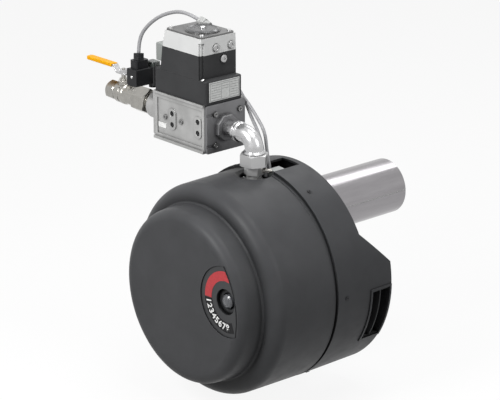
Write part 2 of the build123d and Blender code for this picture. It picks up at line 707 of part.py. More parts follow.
def fan_motor():
    """Finned motor housing with its mounting flange and the pad for the capacitor."""
    y0 = motor_rear_y()
    y1 = BASE_FRONT_Y - MOTOR_FLANGE
    body = lengthwise(MOTOR_R - 4, 0, FAN_Z, y0, y1)
    fin = block((MOTOR_R - 6, MOTOR_R), (y0 + 10, y1 - 10), (FAN_Z - 1.5, FAN_Z + 1.5))
    body = joined([body] + around(fin, 16, (0, 0, FAN_Z), (0, 1, 0), 11.25))
    body = body + lengthwise(MOTOR_R + 10, 0, FAN_Z, y1, BASE_FRONT_Y)
    body = body + block((-MOTOR_R - 6, -MOTOR_R + 10), (y0 + 12, y1 - 12), (FAN_Z - 16, FAN_Z + 4))
    body = body - lengthwise(SHAFT_R + RUN, 0, FAN_Z, y0 - 1, BASE_FRONT_Y + 1)
    hole = lengthwise(3.3, MOTOR_R + 5, FAN_Z, y1 - 1, BASE_FRONT_Y + 1)
    return body - joined(around(hole, 4, (0, 0, FAN_Z), (0, 1, 0), 45))


def motor_end_cap():
    y1 = motor_rear_y()
    y0 = y1 - MOTOR_CAP
    cap = turned([(0, y1), (MOTOR_R - 4, y1), (MOTOR_R - 4, y0 + 6), (MOTOR_R - 12, y0), (0, y0)], (0, 0, FAN_Z), (0, 1, 0))
    slot = block((16, MOTOR_R - 14), (y0 - 1, y0 + 3), (FAN_Z - 2, FAN_Z + 2))
    cap = cap - joined(around(slot, 8, (0, 0, FAN_Z), (0, 1, 0)))
    return cap - lengthwise(SHAFT_R + RUN, 0, FAN_Z, y1 - 9, y1 + 1)


def motor_capacitor():
    x = -MOTOR_R - 6 - CAPACITOR_R
    z = FAN_Z - 6
    y0 = motor_rear_y() + 14
    can = lengthwise(CAPACITOR_R, x, z, y0, y0 + 55)
    return can + block((x, -MOTOR_R - 6), (y0 + 8, y0 + 48), (z - 8, z + 8))


# ---- equipment on the base plate ----
def control_base():
    x = (RESET_X - 34, RESET_X + 38)
    z = (RESET_Z - 47, RESET_Z + 47)
    body = block(x, (BASE_FRONT_Y - 32, BASE_FRONT_Y), z)
    return fillet(body.edges().filter_by(Axis.Y), 5)


def control_unit():
    x = (RESET_X - 26, RESET_X + 34)
    z = (RESET_Z - 40, RESET_Z + 40)
    y1 = BASE_FRONT_Y - 32
    y0 = key_y() + 4
    body = block(x, (y0, y1), z)
    body = fillet(body.edges().filter_by(Axis.Y), 4)
    body = chamfer(body.faces().sort_by(Axis.Y)[0].edges(), 2)
    return body + lengthwise(6, RESET_X, RESET_Z, key_y(), y0 + 2)


def ignition_transformer():
    x = (-160, -96)
    z = (HOOD_Z - 27, HOOD_Z + 33)
    body = block(x, (BASE_FRONT_Y - 66, BASE_FRONT_Y), z)
    body = fillet(body.edges().filter_by(Axis.Y), 5)
    for dz in (18, 42):
        y = BASE_FRONT_Y - 66
        body = body + tube(7, 4, (-112, y, z[0] + dz), (-112, y - 14, z[0] + dz))
    return body


def air_pressure_switch():
    x, z = -104, HOOD_Z - 94
    y = BASE_FRONT_Y
    body = turned([(0, y), (24, y), (28, y - 6), (28, y - 14), (22, y - 18), (22, y - 30), (0, y - 30)], (x, 0, z), (0, 1, 0))
    return body + upright(3.5, x, y - 10, z + 20, z + 38)


def damper_actuator():
    y0 = BASE_FRONT_Y - 60
    body = block((DAMPER_X - 24, DAMPER_X + 24), (y0, BASE_FRONT_Y), (DAMPER_Z - 25, DAMPER_Z + 22))
    body = fillet(body.edges().filter_by(Axis.Y), 4)
    return body - lengthwise(DAMPER_SHAFT_R + RUN, DAMPER_X, DAMPER_Z, BASE_FRONT_Y - 24, BASE_FRONT_Y + 1)


def air_damper():
    """Flap in the suction path, on the actuator's shaft."""
    y1 = REAR_Y - SHELL_WALL - 3
    y0 = BASE_BACK_Y + 3
    flap = block((DAMPER_X - DAMPER_HALF, DAMPER_X + DAMPER_HALF), (y0, y1), (DAMPER_Z - 1.2, DAMPER_Z + 1.2))
    return flap + lengthwise(DAMPER_SHAFT_R, DAMPER_X, DAMPER_Z, BASE_FRONT_Y - 23, y1)


# ---- union and elbow ----
def union_tail():
    """Six-sided tail of the union with its threaded neck."""
    body = prism(TAIL_CORNER_R, 6, (0, GAS_Y, TAIL_Z), (0, GAS_Y, NUT_Z[0]), TAIL_TURN)
    body = body + upright(NECK_R - SEAT, 0, GAS_Y, BOSS_TOP + SEAT, TAIL_Z)
    body = body - rod(NIPPLE_SEAT_R, nipple_point(0), nipple_point(9))
    return body - upright(PIPE_BORE, 0, GAS_Y, BOSS_TOP, NUT_Z[0] + 1)


def nipple_point(along):
    """A point on the test nipple's axis, from its seat in the tail outwards."""
    turn = radians(NIPPLE_TURN)
    reach = TAIL_CORNER_R * cos(radians(30)) - 1.5 + along
    return (reach * cos(turn), GAS_Y + reach * sin(turn), (TAIL_Z + NUT_Z[0]) / 2 - 1)


def test_nipple():
    """Pressure test point in the union's tail."""
    body = prism(NIPPLE_SEAT_R - SEAT, 6, nipple_point(0), nipple_point(8))
    return body + rod(3.4, nipple_point(8), nipple_point(15.5)) + rod(2.8, nipple_point(15.5), nipple_point(18))


def union_nut():
    z0, z1 = NUT_Z
    body = prism(NUT_CORNER_R, 6, (0, GAS_Y, z0), (0, GAS_Y, z1), NUT_TURN)
    body = body & turned([(0, z0), (NUT_CORNER_R - 1.5, z0), (NUT_CORNER_R + 0.5, z0 + 1.6), (NUT_CORNER_R + 0.5, z1 - 2.2),
                          (NUT_CORNER_R - 3.4, z1), (0, z1)], (0, GAS_Y, 0), (0, 0, 1))
    return body - upright(PIPE_BORE, 0, GAS_Y, z0 - 1, z1 + 1)


def pipe_elbow():
    """Malleable elbow: beaded socket on the union, bend, and the hub at the valve."""
    bend = GAS_Z - NUT_Z[1] - 6
    path = Line((0, GAS_Y, NUT_Z[1]), (0, GAS_Y, GAS_Z - bend))
    turn = ThreePointArc((0, GAS_Y, GAS_Z - bend), (bend * (sqrt(0.5) - 1), GAS_Y, GAS_Z - bend + bend * sqrt(0.5)),
                         (-bend, GAS_Y, GAS_Z))
    out = Line((-bend, GAS_Y, GAS_Z), (HUB_START_X, GAS_Y, GAS_Z))
    route = Wire([path, turn, out])
    start = Plane(origin=(0, GAS_Y, NUT_Z[1]), z_dir=(0, 0, 1))
    outer = sweep(start * Circle(PIPE_R), path=route)
    inner = sweep(start * Circle(PIPE_BORE), path=route)
    bead = turned([(0, NUT_Z[1]), (18.5, NUT_Z[1]), (19.5, NUT_Z[1] + 2), (17, NUT_Z[1] + 5), (0, NUT_Z[1] + 5)],
                  (0, GAS_Y, 0), (0, 0, 1))
    x = HUB_START_X
    hub = turned([(0, x + 8), (17.5, x + 8), (17.5, x + 11), (16.2, x + 12), (16.2, x + 13), (17.8, x + 14),
                  (17.8, x + 17), (PIPE_R, x + 20), (0, x + 20)], (0, GAS_Y, GAS_Z), (1, 0, 0))
    hub = hub + prism(HUB_HEX_R, 6, (x, GAS_Y, GAS_Z), (x + 8, GAS_Y, GAS_Z), 30)
    nipple = crosswise(NIPPLE_OUT_R, GAS_Y, GAS_Z, BOSS_FACE_X, x + 1)
    return outer + bead + hub + nipple - inner - crosswise(PIPE_BORE, GAS_Y, GAS_Z, BOSS_FACE_X - 1, x + 2)


# ---- gas valve ----
def obround_boss(x, z, depth):
    """A vertical two-port boss on the valve's front face."""
    y = VALVE_Y[0]
    plane = Plane(origin=(x, y, z), x_dir=(0, 0, 1), z_dir=(0, -1, 0))
    return extrude(plane * SlotOverall(39, 19), depth)


def valve_body():
    """Die-cast body: panelled front with two test-point bosses, flanged top and bottom edges."""
    body = block(VALVE_X, VALVE_Y, VALVE_Z)
    body = fillet(body.edges().filter_by(Axis.Z), 3)
    panel = block((VALVE_X[0] + 8, VALVE_X[1] - 5), (VALVE_Y[0] - 1, VALVE_Y[0] + 1.5), (VALVE_Z[0] + 11, VALVE_Z[1] - 11))
    body = body - panel
    low = (VALVE_Z[0], VALVE_Z[0] + 5)
    body = body + block((VALVE_X[0], VALVE_X[1]), (VALVE_Y[0] - 2.5, VALVE_Y[0] + 1), low)
    high = (VALVE_Z[1] - 4, VALVE_Z[1])
    body = body + block((VALVE_X[0], VALVE_X[1]), (VALVE_Y[0] - 2.5, VALVE_Y[0] + 1), high)
    mid = (VALVE_Z[0] + VALVE_Z[1]) / 2
    for x in (VALVE_X[1] - 16.5, VALVE_X[1] - 85.5):
        body = body + obround_boss(x, mid, 1.5).translate((0, 1.5, 0))
        for dz in (-10, 10):
            body = body - lengthwise(PORT_R, x, mid + dz, VALVE_Y[0] - 5, VALVE_Y[0] + 9)
    for x0, x1 in ((VALVE_X[0] - 1, VALVE_X[0] + 14), (VALVE_X[1] - 14, VALVE_X[1] + 1)):
        body = body - crosswise(PIPE_BORE, GAS_Y, GAS_Z, x0, x1)
    return body


def valve_screws():
    """The two small plugs beside the left boss and the four socket screws of the outlet flange."""
    y = VALVE_Y[0] + 1.5
    mid = (VALVE_Z[0] + VALVE_Z[1]) / 2
    screws = []
    for x in (VALVE_X[1] - 105, VALVE_X[1] - 62):
        head = lengthwise(4.4, x, mid, y - 2.2, y)
        screws.append(head - prism(2.3, 6, (x, y - 3, mid), (x, y - 1, mid)))
    x = VALVE_X[1] + PLATE_THICK - 1.5
    for y, z in corner_places():
        head = crosswise(4.6, y, z, x, x + 4.5)
        screws.append(head - prism(2.4, 6, (x + 2.5, y, z), (x + 5, y, z)))
    return group(screws)


def corner_places():
    return [(y, z) for y in SCREW_Y for z in SCREW_Z]


def outlet_flange():
    """Flange plate on the valve's outlet side, with an eight-sided raised boss."""
    x0, x1 = VALVE_X[1], VALVE_X[1] + PLATE_THICK
    body = block((x0, x1), (VALVE_Y[0] + 2, VALVE_Y[1] - 2), (VALVE_Z[0], VALVE_Z[1] - 1))
    body = fillet(body.edges().filter_by(Axis.X), 3)
    boss = prism(BOSS_FLATS / 2 / cos(radians(22.5)), 8, (x0, GAS_Y, GAS_Z), (BOSS_FACE_X, GAS_Y, GAS_Z), 22.5)
    body = body + chamfer(boss.faces().sort_by(Axis.X)[-1].edges(), 1.2)
    for y, z in corner_places():
        body = body - crosswise(5.4, y, z, x1 - 1.5, x1 + 1)
        if y < GAS_Y:
            body = body - block((x1 - 1.5, x1 + 1), (VALVE_Y[0], y), (z - 3, z + 3))
    return body - crosswise(PIPE_BORE, GAS_Y, GAS_Z, x0 - 1, BOSS_FACE_X + 1)


def inlet_flange():
    x1 = VALVE_X[0]
    x0 = x1 - 8
    body = block((x0, x1), (VALVE_Y[0] + 4, VALVE_Y[1] - 2), (VALVE_Z[0] + 2, VALVE_Z[1] - 2))
    body = fillet(body.edges().filter_by(Axis.X), 5)
    body = body + crosswise(HUB_R, GAS_Y, GAS_Z, HUB_X, x0)
    return body - crosswise(NIPPLE_R, GAS_Y, GAS_Z, HUB_X - 1, HUB_X + 14) - crosswise(PIPE_BORE, GAS_Y, GAS_Z, HUB_X, x1 + 1)


def lofted_box(x0, y0, z0, x1, y1, z1):
    """A tapered box from one rectangle to another above it."""
    low = Plane(origin=(sum(x0) / 2, sum(y0) / 2, z0)) * Rectangle(x0[1] - x0[0], y0[1] - y0[0])
    high = Plane(origin=(sum(x1) / 2, sum(y1) / 2, z1)) * Rectangle(x1[1] - x1[0], y1[1] - y1[0])
    return loft([low, high])


def band_x():
    return COIL_X[0] + 6, COIL_X[1]


def coil_housing():
    """Black housing of the magnet: wide skirt, stepped-in tower and a corner groove."""
    skirt = block(SKIRT_X, SKIRT_Y, (VALVE_Z[1], SKIRT_TOP))
    skirt = fillet(skirt.edges().filter_by(Axis.Z), 3)
    skirt = chamfer(skirt.faces().sort_by(Axis.Z)[-1].edges().filter_by(Axis.Y), 1.5)
    tower = tower_envelope()
    groove = corner_groove(SKIRT_TOP - 1, BAND_Z + 1)
    return skirt + (tower - groove - plug_seats()) + cable_outlet()


def corner_groove(z0, z1):
    """The square channel down the front corner."""
    x = COIL_X[1]
    y = COIL_Y[0]
    return block((x - 5, x + 1), (y - 1, y + 2.5), (z0, z1)) + block((x - 2.5, x + 1), (y - 1, y + 8), (z0, z1))


def coil_band():
    """Light upper band of the magnet housing, with its left end drawn in."""
    y_top = (COIL_Y[0] + 1, COIL_Y[1] - 2)
    body = lofted_box(band_x(), COIL_Y, BAND_Z, TOP_X, y_top, COIL_TOP)
    return body - corner_groove(BAND_Z - 1, COIL_TOP - 8) - plug_seats()


def top_plate():
    y = (COIL_Y[0] + 2, COIL_Y[1] - 3)
    body = block((TOP_X[0] + 1, TOP_X[1] - 1), y, (COIL_TOP, COIL_TOP + LID))
    body = fillet(body.edges().filter_by(Axis.Z), 4)
    body = body + tube(CAP_R + 2, CAP_R + SEAT, (CAP_X, CAP_Y, COIL_TOP), (CAP_X, CAP_Y, COIL_TOP + LID + 1.5))
    return body


def top_cap():
    z = COIL_TOP + LID
    return turned([(0, z), (CAP_R, z), (CAP_R, z + 2), (CAP_R - 3, z + 4), (CAP_R - 5, z + 3), (0, z + 3)],
                  (CAP_X, CAP_Y, 0), (0, 0, 1))


def top_screws():
    """Slotted screw of the round cap and the four corner screws of the plate."""
    z = COIL_TOP + LID + 3
    slotted = turned([(0, z), (4.5, z), (4.5, z + 3), (3.5, z + 4), (0, z + 4)], (CAP_X, CAP_Y, 0), (0, 0, 1))
    screws = [slotted - block((CAP_X - 6, CAP_X + 6), (CAP_Y - 0.6, CAP_Y + 0.6), (z + 3, z + 5))]
    z = COIL_TOP + LID
    for x in (TOP_X[0] + 6, TOP_X[1] - 8):
        for y in (COIL_Y[0] + 9, COIL_Y[1] - 9):
            head = upright(3.6, x, y, z, z + 2.5)
            screws.append(head - prism(1.8, 6, (x, y, z + 1), (x, y, z + 3)))
    return group(screws)


def blanking_plugs():
    """Round screwed plugs on the magnet's right side: two on the band, one on the tower."""
    plugs = []
    x = COIL_X[1] - PLUG_SEAT
    for y, z in BLANKING_PLACES:
        plug = turned([(0, x), (BLANKING_R, x), (BLANKING_R, x + 4), (BLANKING_R - 1.4, x + 5), (0, x + 5)],
                      (0, y, z), (1, 0, 0))
        plugs.append(plug - crosswise(3, y, z, x + 3.5, x + 6))
    return group(plugs)


def plug_seats():
    """Spot faces for the blanking plugs."""
    x = COIL_X[1] - PLUG_SEAT
    return joined([crosswise(BLANKING_R + SEAT, y, z, x, x + 20) for y, z in BLANKING_PLACES])


def nameplate():
    x = SKIRT_X[1]
    return block((x, x + 0.8), (SKIRT_Y[0] + 8, SKIRT_Y[1] - 6), (VALVE_Z[1] + 5, SKIRT_TOP - 3))


def terminal_box():
    """Light box on the magnet's inlet side."""
    body = block((-246, COIL_X[0] + 8), (-158, -134), (SKIRT_TOP, 279))
    body = fillet(body.edges().filter_by(Axis.X), 2)
    return body - tower_envelope()


def tower_envelope():
    return lofted_box(COIL_X, COIL_Y, SKIRT_TOP - 1, band_x(), COIL_Y, BAND_Z)


def cable_outlet():
    """Small box moulded behind the magnet; the two valve cables leave its side."""
    body = block((OUTLET_X - 28, OUTLET_X), (SKIRT_Y[1] - 1, SKIRT_Y[1] + 28), (206, 234))
    body = fillet(body.edges().filter_by(Axis.X), 3)
    for route in (VALVE_ROUTE_A, VALVE_ROUTE_B):
        y, z = route[0][1:]
        body = body + crosswise(5, y, z, OUTLET_X - 1, OUTLET_X + 6) - crosswise(WIRE_R + 1.2, y, z, OUTLET_X + 2, OUTLET_X + 7)
    return body


# ---- inlet pipework and ball valve ----
def inlet_nipple():
    """Screwed nipple with its big hexagon."""
    body = crosswise(NIPPLE_R - SEAT, GAS_Y, GAS_Z, HEX_X[1], HUB_X + 13)
    hexagon = prism(HEX_AF / sqrt(3), 6, (HEX_X[0], GAS_Y, GAS_Z), (HEX_X[1], GAS_Y, GAS_Z))
    round_off = turned([(0, HEX_X[0]), (HEX_AF / 2 - 1, HEX_X[0]), (HEX_AF / 2 + 4, HEX_X[0] + 4),
                        (HEX_AF / 2 + 4, HEX_X[1] - 4), (HEX_AF / 2 - 1, HEX_X[1]), (0, HEX_X[1])],
                       (0, GAS_Y, GAS_Z), (1, 0, 0))
    return body + (hexagon & round_off) - crosswise(PIPE_BORE, GAS_Y, GAS_Z, HEX_X[0] - 1, HUB_X + 14)


def ball_valve_body():
    """Nickel-plated body: hexagon, round waist with its groove, hexagon, and the stem tower."""
    x0, x1 = INLET_X, HEX_X[0]
    ends = prism(BALL_BODY_AF / sqrt(3), 6, (x0, GAS_Y, GAS_Z), (x0 + 22, GAS_Y, GAS_Z))
    ends = ends + prism(BALL_BODY_AF / sqrt(3) + 1, 6, (x1 - 30, GAS_Y, GAS_Z), (x1, GAS_Y, GAS_Z))
    flat = BALL_BODY_AF / 2
    rounding = [(0, x0), (flat, x0), (flat + 3, x0 + 3), (flat + 3, x0 + 19), (flat, x0 + 24), (flat, x1 - 32),
                (flat + 4, x1 - 27), (flat + 4, x1 - 3), (flat + 1, x1), (0, x1)]
    ends = ends & turned(rounding, (0, GAS_Y, GAS_Z), (1, 0, 0))
    waist = turned([(0, x0 + 18), (16.5, x0 + 22), (18.5, x0 + 27), (18.5, x0 + 37), (17, x0 + 38), (17, x0 + 40),
                    (19, x0 + 41), (19, x0 + 48), (16, x0 + 52), (0, x0 + 52)], (0, GAS_Y, GAS_Z), (1, 0, 0))
    tower = upright(8, BALL_X, GAS_Y, GAS_Z + 8, LEVER_Z - 8)
    tower = tower + prism(10.5, 6, (BALL_X, GAS_Y, GAS_Z + 16), (BALL_X, GAS_Y, GAS_Z + 24))
    body = ends + waist + tower
    body = body - crosswise(INLET_R, GAS_Y, GAS_Z, x0 - 1, x0 + INLET_DEPTH)
    body = body - crosswise(PIPE_BORE - 1, GAS_Y, GAS_Z, x0, x1 + 1)
    body = body - Pos(BALL_X, GAS_Y, GAS_Z) * Sphere(BALL_R + SEAT)
    return body - upright(VALVE_STEM_R + RUN, BALL_X, GAS_Y, GAS_Z, LEVER_Z)


def valve_ball():
    """Bored ball on its stem; the stem's top is squared for the lever."""
    ball = Pos(BALL_X, GAS_Y, GAS_Z) * Sphere(BALL_R)
    ball = ball - crosswise(PIPE_BORE - 1.5, GAS_Y, GAS_Z, BALL_X - 20, BALL_X + 20)
    stem = upright(VALVE_STEM_R, BALL_X, GAS_Y, GAS_Z + BALL_R - 2, LEVER_Z)
    return ball + stem + upright(3.0, BALL_X, GAS_Y, LEVER_Z, LEVER_Z + LEVER_THICK + 8)


def lever_route(lift):
    """Side outline of the bent lever strip, as (x, z), raised by a height."""
    rise = LEVER_Z + LEVER_RISE
    return [(BALL_X + 11, LEVER_Z + lift), (BALL_X - 15, LEVER_Z + lift), (BALL_X - 24, rise + lift),
            (LEVER_END, rise + lift)]


def lever_strip(thickness, width, skip, reach):
    """Part of the lever's outline extruded to a strip."""
    low = lever_route(-(thickness - LEVER_THICK) / 2)[skip:]
    high = lever_route(LEVER_THICK + (thickness - LEVER_THICK) / 2)[skip:]
    low[-1] = (low[-1][0] - reach, low[-1][1])
    high[-1] = (high[-1][0] - reach, high[-1][1])
    plane = Plane(origin=(0, GAS_Y + width / 2, 0), x_dir=(1, 0, 0), z_dir=(0, -1, 0))
    return extrude(plane * make_face(Polyline(*low, *reversed(high), close=True)), width)


def valve_lever():
    strip = lever_strip(LEVER_THICK, LEVER_WIDTH, 0, 0)
    strip = fillet(strip.edges().filter_by(Axis.Z).sort_by(Axis.X)[-2:], 5)
    return strip - upright(3.0, BALL_X, GAS_Y, LEVER_Z - 1, LEVER_Z + 20)


def lever_grip():
    """Dipped plastic sleeve on the lever."""
    grip = lever_strip(LEVER_THICK + 3, LEVER_WIDTH + 3, 2, 2)
    grip = grip - block((BALL_X - 28, BALL_X), (GAS_Y - 20, GAS_Y + 20), (LEVER_Z - 5, LEVER_Z + 40))
    grip = fillet(grip.edges().filter_by(Axis.Z).sort_by(Axis.X)[:2], 6)
    grip = fillet(grip.faces().sort_by(Axis.Z)[-1].edges(), 1.5)
    return grip - lever_strip(LEVER_THICK, LEVER_WIDTH, 2, 0)


def lever_nut():
    z = LEVER_Z + LEVER_THICK
    nut = prism(8, 6, (BALL_X, GAS_Y, z), (BALL_X, GAS_Y, z + 6))
    return nut - upright(3.0, BALL_X, GAS_Y, z - 1, z + 10)


# ---- gas pressure switch, its plug and the glands ----
def gas_pressure_switch():
    """Switch body behind the plug, on a short nipple screwed into the valve's inlet flange."""
    x, y = SWITCH_X, SWITCH_Y
    body = block(x, y, (PLUG_Z[0] - 4, PLUG_Z[1]))
    body = fillet(body.edges().filter_by(Axis.Z), 3)
    body = body + upright(8, sum(x) / 2, sum(y) / 2, PLUG_Z[0] - 9, PLUG_Z[0] - 4)
    return body + crosswise(6, sum(y) / 2, PLUG_Z[0] + 2, x[1] - 2, VALVE_X[0] - 8)


def switch_cover():
    """Clear cover over the switch's setting dial."""
    x = (SWITCH_X[0] + 3, SWITCH_X[1] - 2)
    y = (SWITCH_Y[0] + 1, SWITCH_Y[1] - 1)
    z = PLUG_Z[1]
    body = block(x, y, (z, z + 8))
    body = fillet(body.edges().filter_by(Axis.Z), 4)
    body = fillet(body.faces().sort_by(Axis.Z)[-1].edges(), 1.5)
    return body - block((x[0] + 2, x[1] - 2), (y[0] + 2, y[1] - 2), (z - 1, z + 6))


def connector_plug():
    """Rectangular plug with a stepped neck on top."""
    body = block(PLUG_X, PLUG_Y, PLUG_Z)
    body = fillet(body.edges().filter_by(Axis.Y), 2)
    mid_x = sum(PLUG_X) / 2
    neck = block((mid_x - 10, mid_x + 10), (PLUG_Y[0] + 4, PLUG_Y[0] + 32), (PLUG_Z[1] - 1, 243))
    neck = fillet(neck.edges().filter_by(Axis.Z), 4)
    return body + neck


def plug_gland():
    """Ribbed gland nut in line with the cable's first run."""
    end = Vector(*SIGNAL_ROUTE[0])
    lean = (Vector(*SIGNAL_ROUTE[1]) - end).normalized()
    foot = end - lean * 13
    nut = prism(9, 8, tuple(foot), tuple(end))
    return nut - block((-320, -240), (-200, -140), (200, 243))


def top_gland():
    """Slanting gland on the top plate, in line with the cable's last run."""
    end = Vector(*SIGNAL_ROUTE[-1])
    lean = (end - Vector(*SIGNAL_ROUTE[-2])).normalized()
    body = rod(8, tuple(end), tuple(end + lean * 22)) + prism(10, 6, tuple(end + lean * 5), tuple(end + lean * 12))
    body = body - block((-200, -80), (-200, -80), (280, COIL_TOP + LID + RUN))
    return body - upright(CAP_R + 3, CAP_X, CAP_Y, COIL_TOP, COIL_TOP + LID + 5)


def signal_cable():
    return cable(SIGNAL_ROUTE, CABLE_R)


def valve_cable_a():
    return cable(VALVE_ROUTE_A, WIRE_R)


def valve_cable_b():
    return cable(VALVE_ROUTE_B, WIRE_R)


def ignition_electrode():
    return probe(0.0, 12.0)


def ionisation_probe():
    return probe(180.0, 30.0)


PARTS = [
    rear_shell, shell_screws, intake_grille, hood, reset_ring, reset_button,
    base_plate, plate_bolts, cable_grommet, flame_tube, mixing_housing,
    gas_flange, flange_screws, gas_lance, diffuser, lance_spider, ignition_electrode, ionisation_probe,
    fan_volute, fan_wheel, motor_shaft, fan_motor, motor_end_cap, motor_capacitor,
    control_base, control_unit, ignition_transformer, air_pressure_switch, damper_actuator, air_damper,
    union_tail, test_nipple, union_nut, pipe_elbow,
    valve_body, valve_screws, outlet_flange, inlet_flange,
    coil_housing, coil_band, top_plate, top_cap, top_screws, blanking_plugs, nameplate, terminal_box, top_gland,
    inlet_nipple, ball_valve_body, valve_ball, valve_lever, lever_grip, lever_nut,
    gas_pressure_switch, switch_cover, connector_plug, plug_gland,
    signal_cable, valve_cable_a, valve_cable_b,
]

for make in PARTS:
    export_step(make(), f"parts/{make.__name__}.step")
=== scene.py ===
import json
import bmesh
import bpy
from math import cos, pi, radians, sin
from mathutils import Matrix, Vector


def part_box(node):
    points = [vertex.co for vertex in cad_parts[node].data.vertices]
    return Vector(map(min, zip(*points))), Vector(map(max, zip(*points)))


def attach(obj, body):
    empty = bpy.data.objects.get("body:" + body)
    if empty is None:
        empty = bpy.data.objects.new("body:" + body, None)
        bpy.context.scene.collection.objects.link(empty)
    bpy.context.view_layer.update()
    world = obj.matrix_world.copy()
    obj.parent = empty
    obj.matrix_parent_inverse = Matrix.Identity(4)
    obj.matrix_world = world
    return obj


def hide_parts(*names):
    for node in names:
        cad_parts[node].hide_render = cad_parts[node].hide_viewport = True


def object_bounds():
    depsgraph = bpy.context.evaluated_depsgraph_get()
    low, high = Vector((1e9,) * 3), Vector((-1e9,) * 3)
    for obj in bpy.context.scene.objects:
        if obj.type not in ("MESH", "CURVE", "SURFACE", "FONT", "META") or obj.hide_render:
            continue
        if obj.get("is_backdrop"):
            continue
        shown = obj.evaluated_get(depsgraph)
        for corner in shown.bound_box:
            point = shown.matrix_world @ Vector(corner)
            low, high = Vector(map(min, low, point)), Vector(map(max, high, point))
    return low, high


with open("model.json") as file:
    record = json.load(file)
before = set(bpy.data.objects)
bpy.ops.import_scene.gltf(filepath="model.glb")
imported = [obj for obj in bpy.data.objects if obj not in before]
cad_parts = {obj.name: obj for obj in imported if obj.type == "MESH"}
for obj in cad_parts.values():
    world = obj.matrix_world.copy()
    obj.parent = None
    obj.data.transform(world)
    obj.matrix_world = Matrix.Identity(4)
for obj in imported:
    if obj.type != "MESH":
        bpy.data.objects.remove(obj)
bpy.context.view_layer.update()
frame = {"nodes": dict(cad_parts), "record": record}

NODES = frame["nodes"]


# ---- camera ----
CAMERA_TURN = radians(48.4)
CAMERA_LIFT = radians(19.1)
CAMERA_DISTANCE = 3.490401
CAMERA_TARGET = Vector((0.0, -0.128, -0.088))
CAMERA_LEFT, CAMERA_UP = 0.020244, 0.122164  # how far the camera stands left of and above the target
SENSOR, LENS = 36.0, 144.0


def camera():
    """A long lens, looking down on the burner's front from its left."""
    turn, lift = CAMERA_TURN, CAMERA_LIFT
    ahead = Vector((-sin(turn) * cos(lift), cos(turn) * cos(lift), -sin(lift)))
    right = Vector((cos(turn), sin(turn), 0.0))
    up = right.cross(ahead)
    place = CAMERA_TARGET - ahead * CAMERA_DISTANCE - right * CAMERA_LEFT + up * CAMERA_UP
    data = bpy.data.cameras.new("camera")
    data.sensor_width = SENSOR
    data.lens = LENS
    data.clip_end = 50
    obj = bpy.data.objects.new("camera", data)
    obj.matrix_world = Matrix.Translation(place) @ Matrix((right, up, -ahead)).transposed().to_4x4()
    bpy.context.collection.objects.link(obj)
    bpy.context.scene.camera = obj


camera()
bpy.context.scene.view_settings.view_transform = "Standard"


